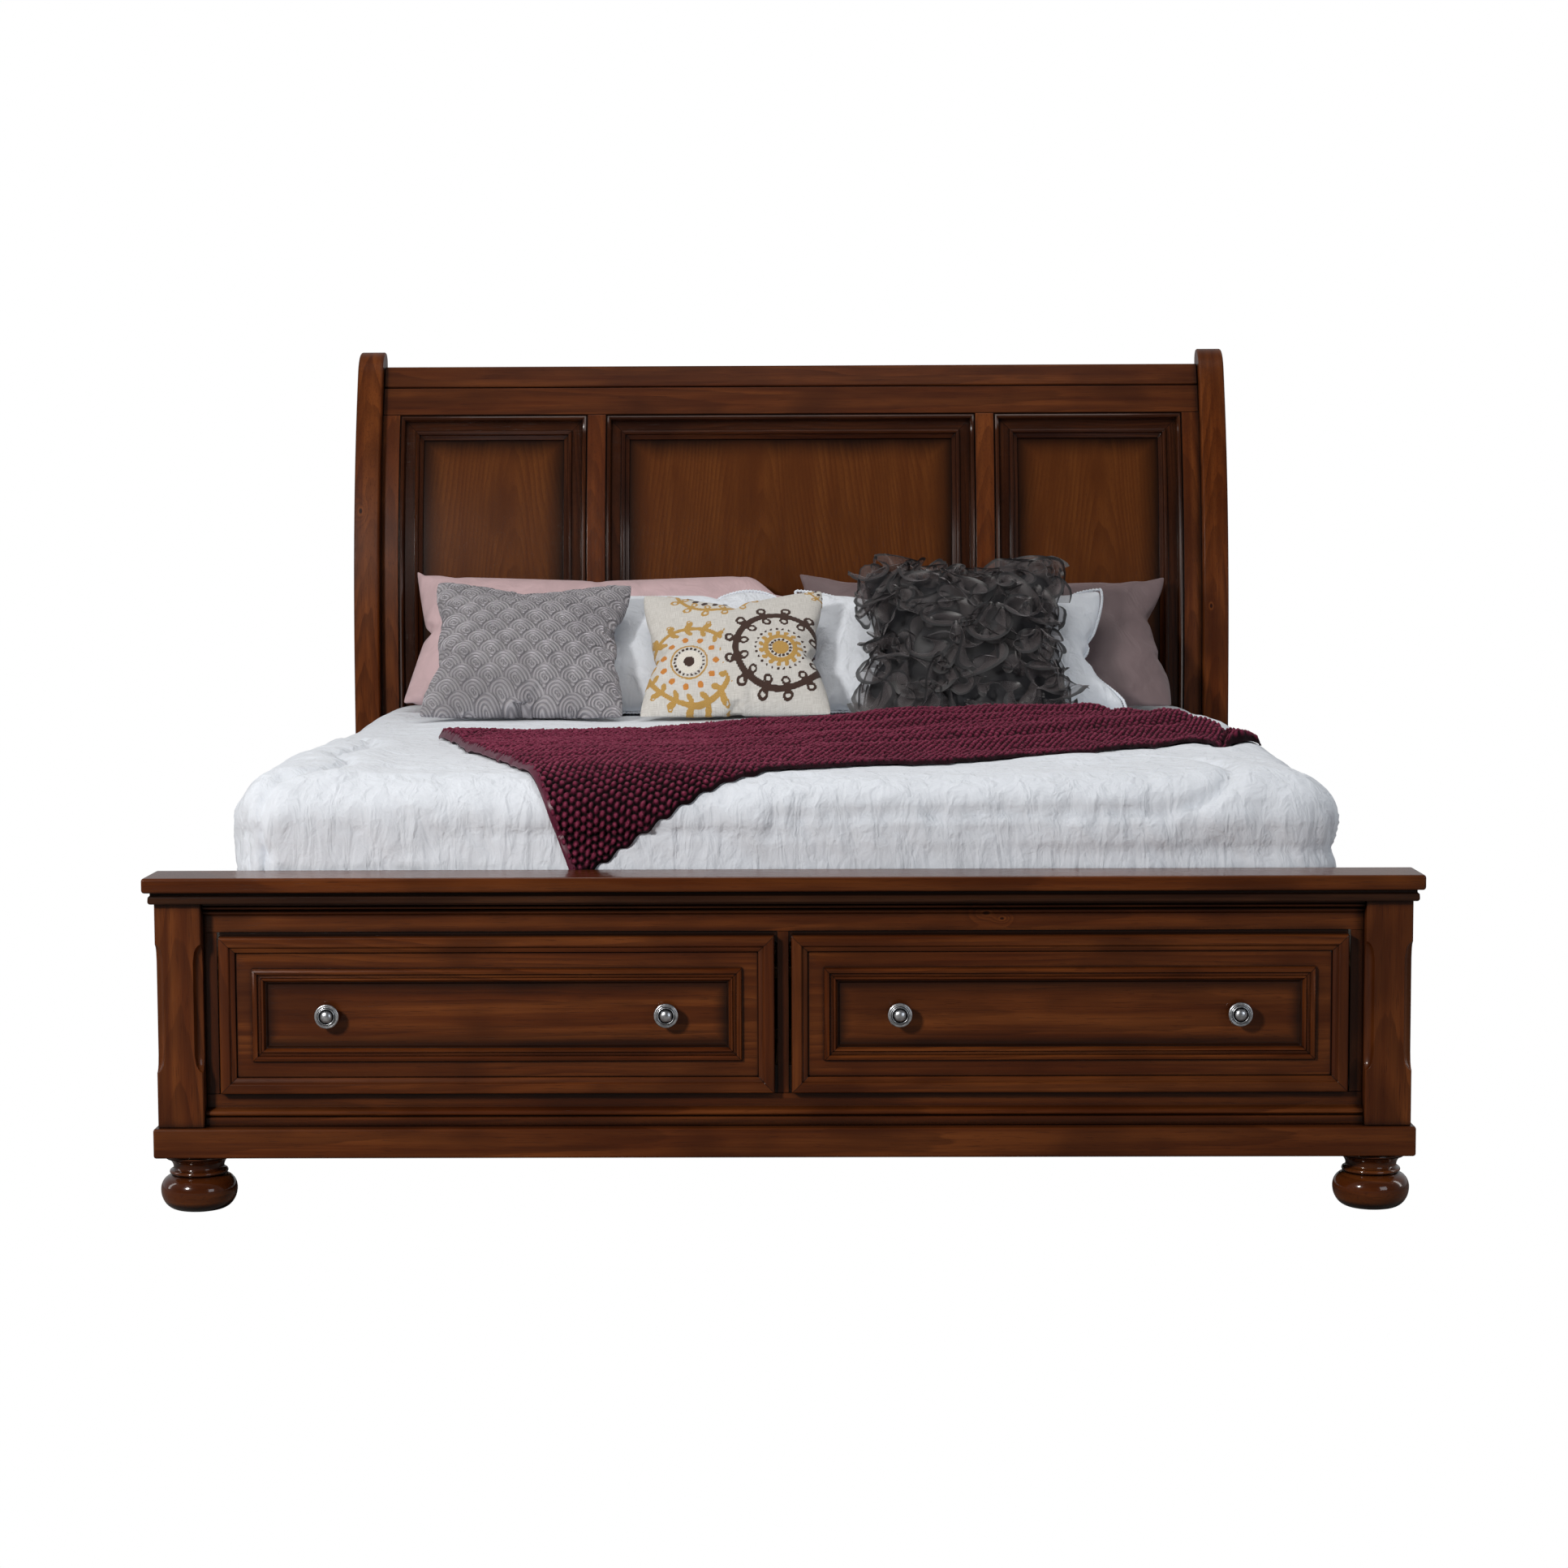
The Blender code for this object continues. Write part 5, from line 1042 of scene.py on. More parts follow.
class Pillow:
    """A blown-up pillow leaning in the room of its CAD solid, with the local places of its points."""

    def __init__(self, node, size, bag, tilt=PILLOW_TILT, droop=None, swell=0.22, turn=0.0, rise=0.0, push=0.0):
        self.node, self.size = node, size
        points, self.quads, self.index = bag
        flat = self.flat = fit_to(points, size)
        width, height = size[:2]
        low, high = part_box(node)
        spots = np.array([v.co for v in frame["nodes"][node].data.vertices])
        centre_x, centre_y = (low.x + high.x) / 2, spots[:, 1].mean()
        floor = COVER_HIGH.z
        x, y, z = flat.T
        up = y / height + 0.5
        foot = flat[self.index[0][0]]
        lifted = np.interp(x, foot[:, 0], foot[:, 1] + height / 2)
        y = y - PILLOW_SETTLE * lifted * (1 - smooth_step(up, 0.0, PILLOW_SETTLE_TO))
        z = z * (1 + swell * (0.5 - up))
        x, y = x * math.cos(turn) - y * math.sin(turn), x * math.sin(turn) + y * math.cos(turn)
        if droop:
            x, y = droop(x, y, width, height)
        along = y + height / 2 + rise
        world_y = centre_y + push - height / 2 * math.sin(tilt) + along * math.sin(tilt) - z * math.cos(tilt)
        world_z = floor + along * math.cos(tilt) + z * math.sin(tilt)
        soft = floor - PILLOW_SINK + PILLOW_SQUASH
        below = np.maximum(soft - world_z, 0.0)
        world_z = np.where(world_z < soft, soft - PILLOW_SQUASH * (1 - np.exp(-below / PILLOW_SQUASH)), world_z)
        self.points = np.stack([centre_x + x, world_y, world_z], -1)

    def sheet(self, face=0):
        """The grid of points of the front or the back, in the world."""
        return self.points[self.index[face]]

    def make(self, material, levels=1, relief=None):
        """The pillow's object; relief(u, v) raises the front by a pattern, in metres."""
        uv = self.flat[:, :2] + np.array(self.size[:2]) / 2
        piece = surface_piece(self.node + "_cloth", self.points, self.quads, material, uv=uv)
        smooth = piece.modifiers.new("smooth", "SUBSURF")
        smooth.levels = smooth.render_levels = levels
        if relief:
            raise_pattern(piece, relief, self.size)
        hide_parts(self.node)
        return piece


def raise_pattern(piece, relief, size):
    """Apply the piece's modifiers and push its front along its normals by a pattern of its UVs."""
    graph = bpy.context.evaluated_depsgraph_get()
    mesh = bpy.data.meshes.new_from_object(piece.evaluated_get(graph), preserve_all_data_layers=True,
                                           depsgraph=graph)
    piece.modifiers.clear()
    piece.data = mesh
    spots, normals = np.empty(len(mesh.vertices) * 3), np.empty(len(mesh.vertices) * 3)
    mesh.vertices.foreach_get("co", spots)
    mesh.vertices.foreach_get("normal", normals)
    uv = point_uvs(mesh)
    edge = np.minimum(np.minimum(uv[:, 0], size[0] - uv[:, 0]), np.minimum(uv[:, 1], size[1] - uv[:, 1]))
    height = relief(uv[:, 0], uv[:, 1]) * smooth_step(edge, 0.0, PATTERN_EDGE)
    moved = spots.reshape(-1, 3) + normals.reshape(-1, 3) * height[:, None]
    mesh.vertices.foreach_set("co", moved.ravel())
    mesh.update()


def seam_cord(pillow, name, material, radius=0.0032, pitch=0.0075, whip=0.0009):
    """Piping sewn round a pillow's rim, with the small swellings of its whip stitches."""
    loop = rim_loop(pillow.sheet(0))
    lengths = np.linalg.norm(np.roll(loop, -1, 0) - loop, axis=1)
    total = lengths.sum()
    count = int(total / (pitch / 5))
    places = np.linspace(0, total, count, endpoint=False)
    ends = np.concatenate([[0.0], np.cumsum(lengths)])
    closed = np.concatenate([loop, loop[:1]])
    path = np.stack([np.interp(places, ends, closed[:, k]) for k in range(3)], -1)
    tangent = unit(np.roll(path, -1, 0) - np.roll(path, 1, 0))
    side = unit(np.cross(tangent, path - path.mean(0)))
    out = np.cross(side, tangent)
    rings = []
    for k in range(CORD_SIDES):
        turn = 2 * math.pi * k / CORD_SIDES
        swell = radius + whip * np.cos(2 * math.pi * places / pitch + turn)
        rings.append(path + out * (0.4 * radius) + swell[:, None] * (math.cos(turn) * out + math.sin(turn) * side))
    index = np.arange(CORD_SIDES * count).reshape(CORD_SIDES, count)
    ahead, above = np.roll(index, -1, 1), np.roll(index, -1, 0)
    quads = np.stack([index, ahead, np.roll(above, -1, 1), above], -1).reshape(-1, 4)
    return surface_piece(name, np.stack(rings), quads, material)


# ---------------------------------------------------------------- pillow covers
def sateen(name, tint):
    """Dull mauve sateen with a soft sheen and shallow creases."""
    n = Nodes(name, Roughness=0.52, Sheen_Weight=0.35, Sheen_Roughness=0.4, Sheen_Tint=(1.0, 0.86, 0.88, 1.0),
              Specular_IOR_Level=0.3)
    spot = n.place()
    crumple = n.noise(n.stretch(spot, (16.0, 16.0, 7.0)), 1.0, 3.0, 0.5, 0.8)
    threads = n.noise(n.stretch(spot, (900.0, 900.0, 300.0)), 1.0, 1.0)
    colour = n.mix(n.step(crumple, 0.3, 0.7), tuple(c * 0.86 for c in tint), tint)
    normal = n.bump(crumple, 0.014, 0.5)
    return n.finish(colour, None, n.bump(threads, 0.00015, 0.4, normal))


SCALLOP = 0.061                       # across each quilted scallop
SCALLOP_ROW = 0.0305
SCALLOP_RADIUS = SCALLOP * 0.52
SCALLOP_DOME = 0.0036
SCALLOP_RING = 0.0042                 # depth of the stitched rings
SCALLOP_LINE = 0.0076                 # between stitched rings


def scallops(u, v):
    """Height of overlapping quilted scales; each lies over the ones above it."""
    row = np.floor(v / SCALLOP_ROW)
    radius = SCALLOP_RADIUS
    height = np.zeros(u.shape)
    done = np.zeros(u.shape, dtype=bool)
    for level in (row - 1, row, row + 1, row + 2):
        across = u / SCALLOP - 0.5 * (level % 2)
        x = (across - np.round(across)) * SCALLOP
        y = v - level * SCALLOP_ROW
        reach = np.hypot(x, y)
        inside = (reach < radius) & ~done
        dome = np.sqrt(np.maximum(1 - (reach / (radius * 1.04)) ** 2, 0.0))
        height = np.where(inside, SCALLOP_DOME * dome, height)
        done |= inside
    return height


def scallop_rings(n):
    """The stitched rings of the same scales, as a finish's height from 0 to 1."""
    u, v, _ = n.split(n.add("TexCoord").outputs["UV"])
    row = n.calc("FLOOR", n.calc("DIVIDE", v, SCALLOP_ROW))
    height = 0.5
    for step in (2.0, 1.0, 0.0, -1.0):
        level = n.plus(row, step)
        odd = n.calc("FLOORED_MODULO", level, 2.0)
        across = n.times_plus(odd, -0.5, n.calc("DIVIDE", u, SCALLOP))
        x = n.times(n.minus(across, n.calc("ROUND", across)), SCALLOP)
        y = n.times_plus(level, -SCALLOP_ROW, v)
        reach = n.calc("SQRT", n.plus(n.times(x, x), n.times(y, y)))
        turn = n.calc("ARCTAN2", y, x)
        swirl = n.times(n.calc("SINE", n.times(turn, 2.0)), 0.35)
        rings = n.calc("COSINE", n.times(n.times_plus(reach, 1 / SCALLOP_LINE, swirl), math.tau))
        rings = n.times_plus(rings, 0.5, 0.5)
        height = n.blend(n.calc("LESS_THAN", reach, SCALLOP_RADIUS), height, rings)
    return height


def velvet():
    """Grey-lilac velvet: pale where it turns away from the eye, with painted shade in the grooves of its stitched
    rings and in its hollows.
    """
    n = Nodes("grey_velvet", Roughness=0.75, Sheen_Weight=0.65, Sheen_Roughness=0.3,
              Sheen_Tint=(0.90, 0.86, 0.95, 1.0), Specular_IOR_Level=0.2)
    spot = n.place()
    nap = n.noise(spot, 700.0, 2.0, 0.7)
    brushed = n.noise(n.stretch(spot, (16.0, 16.0, 7.0)), 1.0, 3.0, 0.5, 0.5)
    colour = n.mix(n.step(brushed, 0.3, 0.7), (0.345, 0.328, 0.345), (0.490, 0.469, 0.490))
    colour = n.mix(n.times(n.step(nap, 0.4, 0.8), 0.25), colour, (0.540, 0.522, 0.548))
    rings = scallop_rings(n)
    # painted shade in the grooves of the stitched rings
    colour = n.mix(n.times(n.step(rings, 0.35, 0.0), 0.55), colour, (0.100, 0.092, 0.104))
    # painted shade in the hollows of the quilting, by ambient occlusion
    colour = crevice_shade_and_patina(n, colour, (0.085, 0.078, 0.088), 0.006, 0.8)
    return n.finish(colour, None, n.bump(nap, 0.0004, 0.6, n.bump(rings, SCALLOP_RING, 1.0)))


# (across, up, radius) of each rosette, from the cushion's lower left corner, and its style
ROSETTES = (((0.112, 0.128), 0.116, "gold"), ((0.312, 0.160), 0.124, "brown"),
            ((0.170, 0.362), 0.108, "chain"), ((0.425, 0.375), 0.060, "chain"))
GOLD, BROWN, ORANGE, IVORY = (0.52, 0.31, 0.085), (0.060, 0.032, 0.024), (0.62, 0.24, 0.050), (0.80, 0.76, 0.68)
THREAD_HEIGHT = 0.0013
THREADS = (("gold", GOLD), ("orange", ORANGE), ("ivory", IVORY), ("brown", BROWN))
# each ring of stitching, from the middle out, in shares of the rosette's radius:
# (kind, middle radius, half width, half length, count, tilt in degrees, colour)
ROSETTE_STYLES = {
    "gold": (("band", 0.05, 0.055, 0.0, 0, 0, BROWN), ("band", 0.17, 0.070, 0.0, 0, 0, IVORY),
             ("leaves", 0.275, 0.026, 0.026, 22, 0, BROWN), ("band", 0.340, 0.018, 0.0, 0, 0, GOLD),
             ("leaves", 0.50, 0.060, 0.070, 11, 0, ORANGE), ("band", 0.80, 0.046, 0.0, 0, 0, GOLD),
             ("leaves", 0.90, 0.062, 0.105, 16, 38, GOLD), ("leaves", 0.69, 0.052, 0.095, 16, -42, GOLD),
             ("loops", 0.98, 0.050, 0.050, 16, 0, GOLD)),
    "brown": (("band", 0.07, 0.080, 0.0, 0, 0, GOLD), ("leaves", 0.18, 0.026, 0.030, 15, 0, BROWN),
              ("band", 0.26, 0.046, 0.0, 0, 0, GOLD), ("leaves", 0.345, 0.045, 0.055, 15, 30, GOLD),
              ("leaves", 0.44, 0.026, 0.026, 26, 0, BROWN), ("band", 0.79, 0.060, 0.0, 0, 0, BROWN),
              ("loops", 0.92, 0.085, 0.095, 13, 35, BROWN), ("loops", 0.66, 0.075, 0.085, 13, -35, BROWN),
              ("leaves", 0.86, 0.036, 0.090, 13, -55, BROWN)),
    "chain": (("leaves", 0.56, 0.060, 0.080, 16, 20, BROWN), ("band", 0.79, 0.042, 0.0, 0, 0, GOLD),
              ("loops", 0.91, 0.075, 0.090, 14, 30, GOLD), ("loops", 0.68, 0.065, 0.080, 14, -30, GOLD)),
}


def stitched(u, v, ring, centre, radius):
    """Share of thread at each place from one ring: a plain band, or leaves or loops set round it."""
    kind, middle_radius, half_width, half_length, count, tilt, _ = ring
    x, y = (u - centre[0]) / radius, (v - centre[1]) / radius
    reach, turn = np.hypot(x, y), np.arctan2(y, x)
    if kind == "band":
        return smooth_step(half_width - np.abs(reach - middle_radius), -0.006, 0.010)
    step = 2 * math.pi / count
    across = (turn / step - np.round(turn / step)) * step * middle_radius
    out = reach - middle_radius
    lean = math.radians(tilt)
    a = across * math.cos(lean) + out * math.sin(lean)
    b = out * math.cos(lean) - across * math.sin(lean)
    level = np.hypot(a / half_width, b / half_length)
    if kind == "loops":
        return smooth_step(0.30 - np.abs(level - 0.78), -0.03, 0.10)
    return smooth_step(1.0 - level, -0.05, 0.18)


def embroidery_layers(u, v):
    """Share of each thread colour at each place, later rosettes lying over earlier ones."""
    layers = {colour: np.zeros(u.shape) for colour in (GOLD, BROWN, ORANGE, IVORY)}
    for centre, radius, style in ROSETTES:
        reach = np.hypot(u - centre[0], v - centre[1]) / radius
        clear = reach < 1.06
        for colour in layers:
            layers[colour] = np.where(clear, 0.0, layers[colour])
        for ring in ROSETTE_STYLES[style]:
            share = stitched(u, v, ring, centre, radius)
            layers[ring[-1]] = np.maximum(layers[ring[-1]], np.where(clear, share, 0.0))
    return layers


def embroidered_linen():
    """Slubby cream linen whose thread colours come from the shares stored on the mesh."""
    n = Nodes("cream_linen", Roughness=0.86, Sheen_Weight=0.15, Specular_IOR_Level=0.2)
    cloth = n.add("UVMap", uv_map="cloth").outputs[0]
    warp = n.noise(n.stretch(cloth, (1500.0, 45.0, 1.0)), 1.0, 2.0)
    weft = n.noise(n.stretch(cloth, (45.0, 1500.0, 1.0)), 1.0, 2.0)
    weave = n.plus(warp, weft)
    colour = n.mix(n.step(weave, 0.75, 1.25), (0.56, 0.535, 0.49), (0.76, 0.74, 0.70))
    thread = n.noise(n.stretch(cloth, (900.0, 900.0, 1.0)), 1.0, 2.0)
    for name, tint in THREADS:
        share = n.add("Attribute", attribute_name=name).outputs["Fac"]
        lit = n.mix(n.step(thread, 0.3, 0.7), tuple(c * 0.72 for c in tint), tuple(min(c * 1.22, 1) for c in tint))
        colour = n.mix(n.step(share, 0.35, 0.60), colour, lit)
    normal = n.bump(weave, 0.0004, 0.6)
    return n.finish(colour, None, n.bump(thread, 0.0003, 0.5, normal))


def embroider(piece, size):
    """Store the thread shares on the cushion's mesh and raise the stitching from the linen."""
    raise_pattern(piece, lambda u, v: THREAD_HEIGHT * sum(embroidery_layers(u, v).values()), size)
    mesh = piece.data
    uv = point_uvs(mesh)
    shares = embroidery_layers(uv[:, 0], uv[:, 1])
    for name, tint in THREADS:
        mesh.attributes.new(name, "FLOAT", "POINT").data.foreach_set("value", shares[tint])


OVERLOCK = (0.80, 0.90)               # where a ribbon's stitched edge starts and is full, as shares of its width
ORGANZA_ALPHA = (0.42, 0.92)          # of the sheer cloth and of its stitched edge


def organza():
    """Sheer charcoal organza, denser along its overlocked edge."""
    n = Nodes("charcoal_organza", Roughness=0.38, Sheen_Weight=0.6, Sheen_Roughness=0.3,
              Sheen_Tint=(0.85, 0.80, 0.82, 1.0), Specular_IOR_Level=0.5)
    edge = n.add("Attribute", attribute_name="edge").outputs["Fac"]
    spot = n.place()
    mesh_grain = n.noise(spot, 800.0, 1.0)
    colour = n.mix(n.step(edge, *OVERLOCK), (0.120, 0.104, 0.106), (0.016, 0.015, 0.016))
    n.feed(n.shader.inputs["Alpha"], n.blend(n.step(edge, *OVERLOCK), *ORGANZA_ALPHA))
    return n.finish(colour, None, n.bump(mesh_grain, 0.0003, 0.5))


def dark_satin():
    n = Nodes("charcoal_lining", Roughness=0.45, Specular_IOR_Level=0.4)
    spot = n.place()
    threads = n.noise(n.stretch(spot, (500.0, 90.0, 500.0)), 1.0, 2.0)
    return n.finish(n.mix(threads, (0.010, 0.010, 0.012), (0.028, 0.028, 0.032)), None, n.bump(threads, 0.0003))


def bilinear(grid, u, v):
    """Values of a grid at shares u across and v up, from 0 to 1."""
    rows, columns = grid.shape[:2]
    x, y = np.clip(u, 0, 1) * (columns - 1), np.clip(v, 0, 1) * (rows - 1)
    i, j = np.minimum(x.astype(int), columns - 2), np.minimum(y.astype(int), rows - 2)
    f, g = (x - i)[..., None], (y - j)[..., None]
    low = grid[j, i] * (1 - f) + grid[j, i + 1] * f
    high = grid[j + 1, i] * (1 - f) + grid[j + 1, i + 1] * f
    return low * (1 - g) + high * g


RUFFLE_ROWS = 14
# height, droop, curl, swing, its lag, flutter, its rate, roll and its rate
FACE_RIBBON = (0.060, 0.28, 1.25, 0.032, 1.3, 0.004, 2.3, 0.028, 1.05)
RIM_RIBBON = (0.058, 0.22, 1.2, 0.024, 1.0, 0.003, 2.1, 0.021, 1.1)
RIM_LEAN = 0.012                      # between laps, at their free edges
RUFFLE_SAMPLES = 300
RUFFLE_MARGIN = 0.012                 # from the seams, as a share of the cushion's width or height
RUFFLE_FLOOR = 0.002                  # how far ruffles sink into the comforter
EDGE_PUSH, EDGE_PUSH_FROM = 1.6, 0.72     # ruffles near the seams lean outwards this much, from this far out
RIM_LAPS = 3
RIM_SAMPLES = 620
STRIP_SHARES = np.linspace(0.0, 1.0, 7)     # across a ribbon, from its gathered edge to its free one


def flared_ribbon(shape, base, axes, waves, flare, phases, lean, push=0.0):
    """Rows of a ribbon from its gathered edge to its free one, which swings over and rolls along in waves.

    axes point out of the cushion, over the ribbon's seam and along it; lean is a distance and its power of the width.
    """
    height, droop, curl, swing, lag, flutter, flutter_rate, roll, roll_rate = shape
    out, over, along = axes
    strip = []
    for share in STRIP_SHARES:
        loose = share ** curl
        swung = loose * (swing * np.sin(waves + lag * share) + flutter * np.sin(waves * flutter_rate + phases[0]))
        rolled = loose * roll * np.cos(waves * roll_rate + phases[1])
        rise = height * flare * (share - droop * share ** 2)
        spot = base + unit(out + push * share) * rise[:, None]
        strip.append(spot + over * (swung + lean[0] * share ** lean[1])[:, None] + along * rolled[:, None])
    return np.stack(strip)


def ruffle_strip(sheet, normals, row, rng):
    """One gathered ribbon that meanders across the cushion and flares outwards in waves."""
    along = np.linspace(0.0, 1.0, RUFFLE_SAMPLES)
    phase = rng.uniform(0, 2 * math.pi, 6)
    level = (row + 0.5) / RUFFLE_ROWS + 0.075 * np.sin(2 * math.pi * (1.6 * along) + phase[0])
    level = level + 0.045 * np.sin(2 * math.pi * 4.1 * along + phase[1])
    u = RUFFLE_MARGIN + (1 - 2 * RUFFLE_MARGIN) * along
    v = np.clip(level, RUFFLE_MARGIN, 1 - RUFFLE_MARGIN)
    base = bilinear(sheet, u, v)
    out = bilinear(normals, u, v)
    right = unit(np.gradient(base, axis=0))
    over = np.cross(out, right)
    edge_push = 0.0
    for place, direction in ((u - 0.5, right), (v - 0.5, over)):
        push = np.clip(np.abs(place) * 2 - EDGE_PUSH_FROM, 0, 1) * np.sign(place) * EDGE_PUSH
        edge_push = edge_push + push[:, None] * direction
    waves = along * (7.5 + 2.0 * rng.uniform(-1, 1)) * 2 * math.pi
    waves = waves + 1.9 * value_noise(along * 6, along * 0 + row, 40 + row)
    flare = 0.75 + 0.35 * value_noise(along * 12, along * 0 + row + 0.5, 60 + row)
    return flared_ribbon(FACE_RIBBON, base, (out, over, right), waves, flare, phase[2:4], (-0.010, 2), edge_push)


def rim_ruffle(sheet, lap, rng):
    """A ribbon round the cushion's rim whose loops stand out past its outline."""
    rim = rim_loop(sheet)
    centre = rim.mean(0)
    places = np.linspace(0, len(rim), RIM_SAMPLES)
    closed = np.concatenate([rim, rim[:1]])
    base = np.stack([np.interp(places, np.arange(len(rim) + 1), closed[:, k]) for k in range(3)], -1)
    along = np.linspace(0, 1, RIM_SAMPLES)
    tangent = unit(np.gradient(base, axis=0))
    out = base - centre
    out = unit(out - tangent * (out * tangent).sum(1, keepdims=True))
    side = np.cross(tangent, out)
    base = base - out * (0.020 + 0.010 * lap)
    waves = along * (21 + 3 * lap) * 2 * math.pi + 1.6 * value_noise(along * 13, along * 0, 80 + lap)
    flare = 0.72 + 0.34 * value_noise(along * 31, along * 0 + 0.5, 90 + lap)
    phase = rng.uniform(0, 2 * math.pi, 2)
    return flared_ribbon(RIM_RIBBON, base, (out, side, tangent), waves, flare, phase, (RIM_LEAN * (lap - 1), 1))


def ruffles(pillow):
    """All the ruffles of the dark cushion as one piece of gathered ribbon."""
    rng = np.random.default_rng(7)
    sheet = pillow.sheet(0)
    normals = grid_normals(sheet)
    strips = [ruffle_strip(sheet, normals, row, rng) for row in range(RUFFLE_ROWS)]
    strips += [rim_ruffle(sheet, lap, rng) for lap in range(RIM_LAPS)]
    points, quads, edges, start = [], [], [], 0
    floor = COVER_HIGH.z - RUFFLE_FLOOR
    for strip in strips:
        strip[..., 2] = np.maximum(strip[..., 2], floor + 0.25 * (strip[..., 2] - floor))
        strip[..., 2] = np.maximum(strip[..., 2], floor)
        rows, columns = strip.shape[:2]
        points.append(strip.reshape(-1, 3))
        quads.append(grid_quads(rows, columns) + start)
        edges.append(np.repeat(np.linspace(0, 1, rows), columns))
        start += rows * columns
    piece = surface_piece("organza_ruffles", np.concatenate(points), np.concatenate(quads), organza(),
                          numbers={"edge": np.concatenate(edges)})


# ---------------------------------------------------------------- the pillows on the bed
SHAM = (0.872, 0.420, 0.112)
WHITE = (0.752, 0.370, 0.112)
QUILTED = (0.447, 0.402, 0.115)
EMBROIDERED = (0.420, 0.372, 0.115)
RUFFLED = (0.440, 0.420, 0.095)


def drooping_corner(side, reach, drop):
    """A bend that lets a pillow's upper corner on one side sink."""
    def bend(x, y, width, height):
        share = smooth_step(side * x / width + 0.5, 1 - reach, 1.0)
        upper = y / height + 0.5
        return x, y - drop * share * upper ** 1.3
    return bend


def wavy_edge(side, amount):
    """A bend for a slack pillow whose side edge waves in and out and whose top is uneven."""
    def bend(x, y, width, height):
        near = smooth_step(side * x / width + 0.5, 0.70, 1.0)
        x = x - side * amount * near * (0.5 + 0.5 * np.sin(y / height * 9.0 + 0.6))
        return x, y + 0.008 * np.sin(x * 11.0) * (y / height + 0.5)
    return bend


def waisted(side, amount):
    """A bend that pulls a pillow's side in above its foot, most of all low down."""
    def bend(x, y, width, height):
        near = smooth_step(side * x / width + 0.5, 0.72, 1.0)
        waist = 1.0 + 0.45 * np.exp(-((y / height + 0.12) / 0.20) ** 2)
        return x - side * amount * near * (0.4 + 0.6 * waist * smooth_step(y / height, -0.44, -0.20)), y
    return bend


# each bag's size, cell of cloth, pressure, stiffness and corner rounding
BAGS = {
    "sham_left": (SHAM, 0.016, 5.0, 12.0, 0.0),
    "sham_right": (SHAM, 0.0155, 4.6, 12.0, 0.0),
    "pillow_white_left": (WHITE, 0.016, 5.0, 12.0, 0.030),
    "pillow_white_right": (WHITE, 0.0155, 5.5, 12.0, 0.006),
    "cushion_quilted": (QUILTED, 0.011, 6.5, 20.0, 0.004),
    "cushion_embroidered": (EMBROIDERED, 0.011, 7.0, 22.0, 0.004),
    "cushion_ruffled": (RUFFLED, 0.014, 6.5, 20.0, 0.010),
}
# one mauve sateen in two copies: a painted lit one for the left sham and a painted shaded one for the right
MAUVE_PAINTED_LIT, MAUVE_PAINTED_SHADE = (0.660, 0.475, 0.490), (0.185, 0.134, 0.138)


def pillows(cotton_cloth):
    bags = inflate(BAGS)
    sham_left = Pillow("sham_left", SHAM, bags["sham_left"], droop=drooping_corner(1, 0.11, 0.085), rise=0.020)
    # the shams share one sateen, painted lit on the left and painted shaded on the right
    sham_left.make(sateen("mauve_sateen_painted_lit", MAUVE_PAINTED_LIT), 2)
    sham_right = Pillow("sham_right", SHAM, bags["sham_right"], droop=wavy_edge(1, 0.020))
    sham_right.make(sateen("mauve_sateen_painted_shade", MAUVE_PAINTED_SHADE), 2)
    for side in SIDES:
        node = "pillow_white_" + side
        bend = waisted(1, 0.052) if side == "right" else None
        white = Pillow(node, WHITE, bags[node], droop=bend, swell=0.3)
        white.make(cotton_cloth, 2)
        seam_cord(white, f"whipped_seam_{side}", cotton_cloth)
    quilted = Pillow("cushion_quilted", QUILTED, bags["cushion_quilted"], turn=-0.02)
    quilted.make(velvet(), 3, relief=scallops)
    embroidered = Pillow("cushion_embroidered", EMBROIDERED, bags["cushion_embroidered"], turn=0.03)
    linen = embroidered.make(embroidered_linen(), 2)
    embroider(linen, EMBROIDERED)
    ruffled = Pillow("cushion_ruffled", RUFFLED, bags["cushion_ruffled"], push=0.012, rise=0.012)
    ruffled.make(dark_satin(), 1)
    ruffles(ruffled)


# ---------------------------------------------------------------- mattress
def ticking():
    """Cream damask ticking with quilted diamonds."""
    n = Nodes("ticking", Roughness=0.8, Sheen_Weight=0.2, Specular_IOR_Level=0.2)
    x, y, z = n.split(n.place())
    a = n.calc("ABSOLUTE", n.calc("SINE", n.times(n.plus(n.plus(x, y), z), 26.0)))
    b = n.calc("ABSOLUTE", n.calc("SINE", n.times(n.minus(n.plus(x, y), z), 26.0)))
    puff = n.calc("POWER", n.calc("MINIMUM", a, b), 0.5)
    weave = n.noise(n.place(), 900.0, 2.0)
    colour = n.mix(n.step(puff, 0.05, 0.35), (0.42, 0.40, 0.35), (0.70, 0.685, 0.64))
    return n.finish(colour, None, n.bump(weave, 0.0002, 0.5, n.bump(puff, 0.006, 0.7)))


MATTRESS_CORNER = 0.105               # radius of its corners in plan
MATTRESS_EDGE = 0.030                 # radius of its upper and lower edges
MATTRESS_INSET = 0.019                # inside its CAD solid, to stay under the comforter
MATTRESS_PIPING = 0.004               # radius


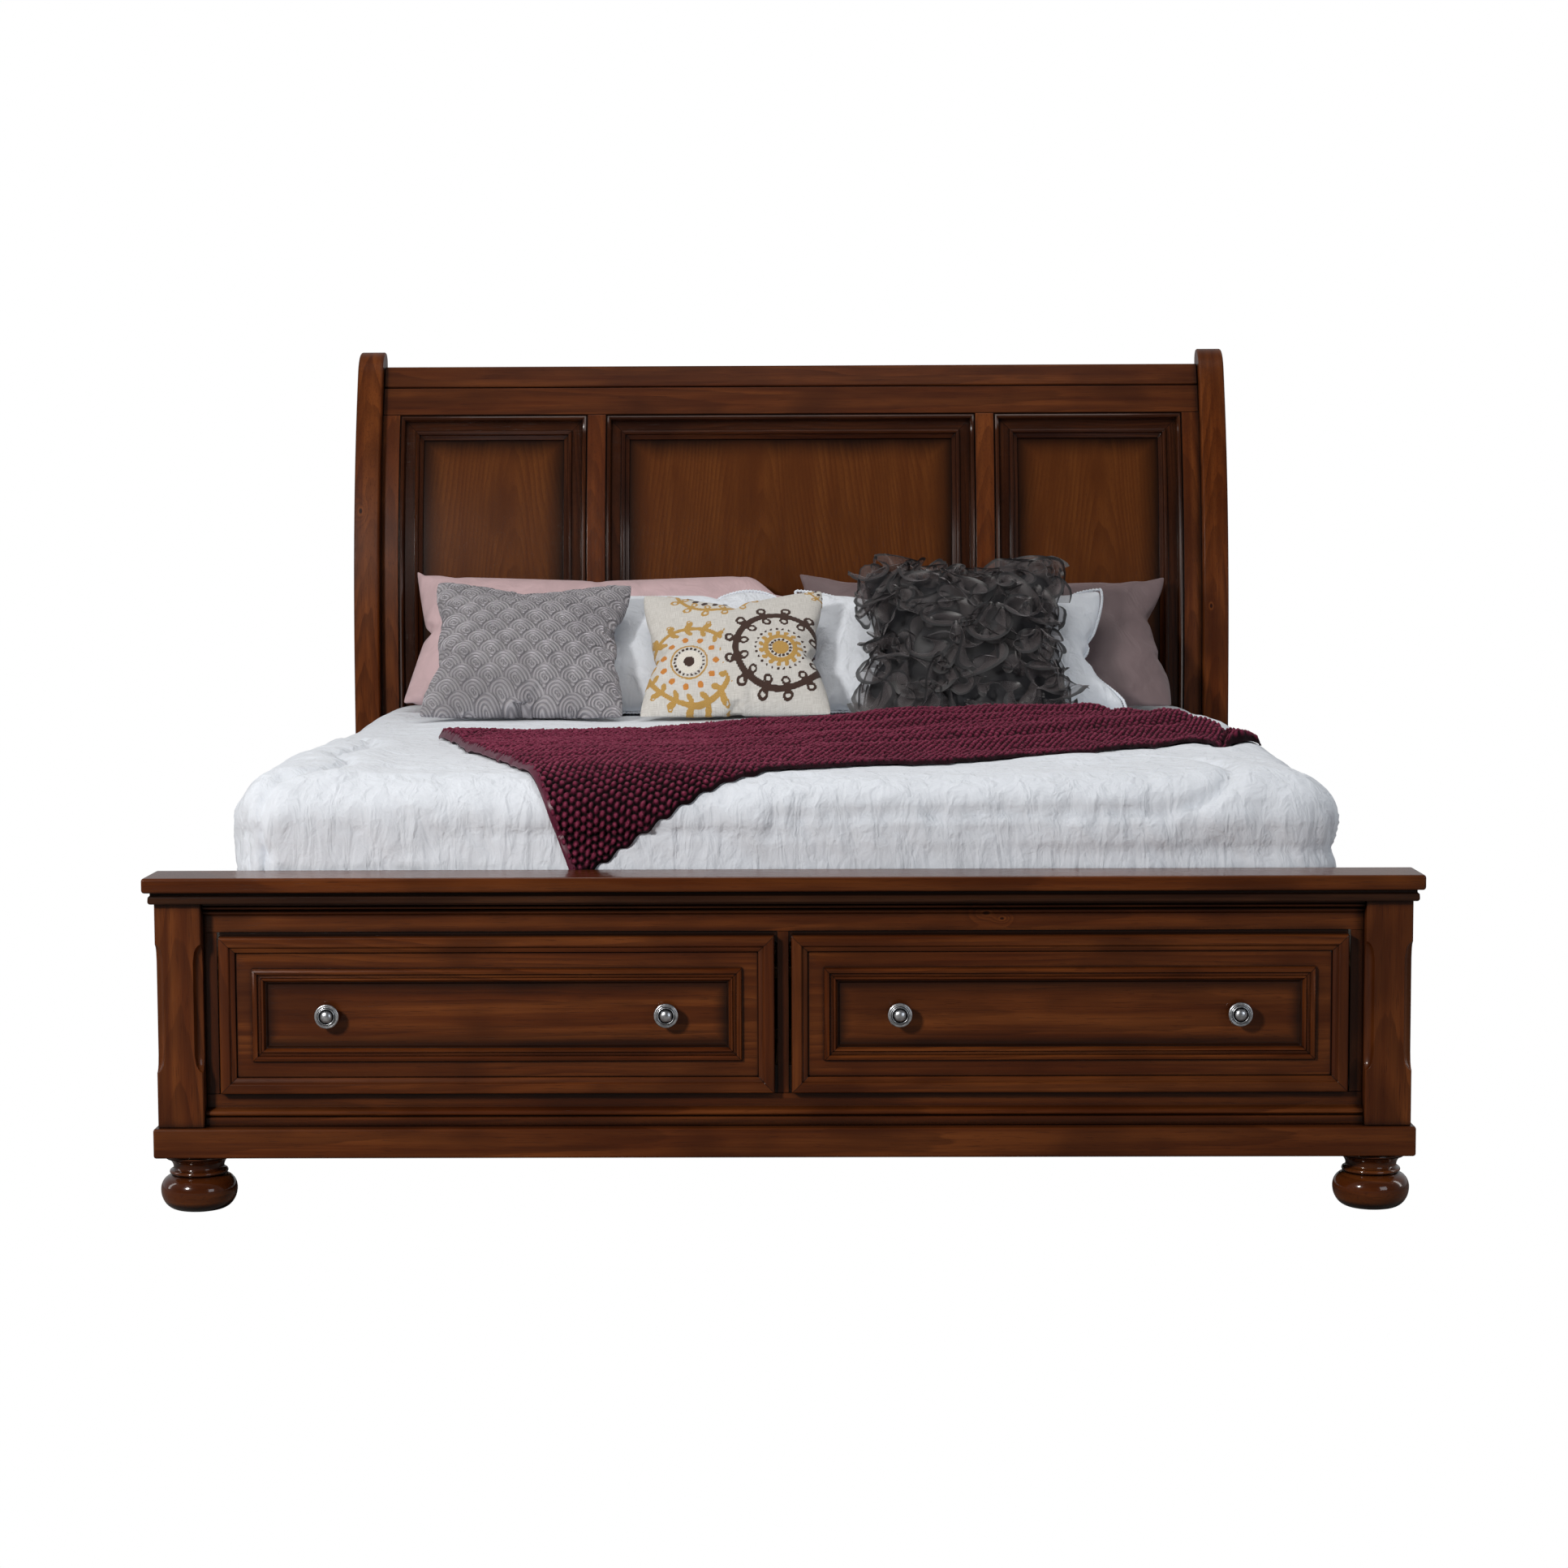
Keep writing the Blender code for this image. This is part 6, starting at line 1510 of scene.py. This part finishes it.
def mattress_outline(inset, steps=10):
    """The mattress's rounded outline in plan, shrunk by an inset."""
    low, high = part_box("mattress")
    radius = MATTRESS_CORNER - inset
    places = ((high.x, high.y, 0), (low.x, high.y, 90), (low.x, low.y, 180), (high.x, low.y, 270))
    outline = []
    for x, y, start in places:
        centre = (x - math.copysign(MATTRESS_CORNER, x), y + (MATTRESS_CORNER if start >= 180 else -MATTRESS_CORNER))
        outline += arc(centre, (radius, radius), start, start + 90, steps)
    return outline


def mattress():
    cloth = ticking()
    low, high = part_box("mattress")
    levels = arc((MATTRESS_EDGE, low.z + MATTRESS_EDGE), (MATTRESS_EDGE, MATTRESS_EDGE), 270, 180, 5)
    levels += arc((MATTRESS_EDGE, high.z - MATTRESS_EDGE), (MATTRESS_EDGE, MATTRESS_EDGE), 180, 90, 5)
    bm = bmesh.new()
    rings = [[bm.verts.new((x, y, z)) for x, y in mattress_outline(inset + MATTRESS_INSET)] for inset, z in levels]
    for lower, upper in zip(rings, rings[1:]):
        for i in range(len(lower)):
            j = (i + 1) % len(lower)
            bm.faces.new((lower[i], lower[j], upper[j], upper[i]))
    bm.faces.new(rings[0][::-1])
    bm.faces.new(rings[-1])
    piece = add_piece("mattress_ticking", bm, cloth)
    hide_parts("mattress")
    for name, z in (("lower", low.z + MATTRESS_EDGE), ("upper", high.z - MATTRESS_EDGE)):
        curve = bpy.data.curves.new("mattress_piping_" + name, "CURVE")
        curve.dimensions = "3D"
        curve.bevel_depth = MATTRESS_PIPING
        curve.bevel_resolution = 3
        line = curve.splines.new("POLY")
        route = mattress_outline(MATTRESS_INSET - 0.001)
        line.points.add(len(route) - 1)
        for point, (x, y) in zip(line.points, route):
            point.co = (x, y, z, 1.0)
        line.use_cyclic_u = True
        curve.materials.append(cloth)
        cord = bpy.data.objects.new("mattress_piping_" + name, curve)
        bpy.context.scene.collection.objects.link(cord)
        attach(cord, "bed")


# ---------------------------------------------------------------- everything
def main():
    add_camera()
    add_world()
    add_floor()
    for light in LIGHTS:
        add_light(*light)
    bpy.context.scene.view_settings.view_transform = "Standard"
    white = cotton("white_cotton", COTTON_TINT)
    pillows(white)
    comforter(white)
    throw()
    mattress()
    headboard()
    footboard()
    drawers()
    frame_under_mattress()


def write_sizes():
    """Bring the view layer up to date."""
    bpy.context.view_layer.update()


main()
write_sizes()
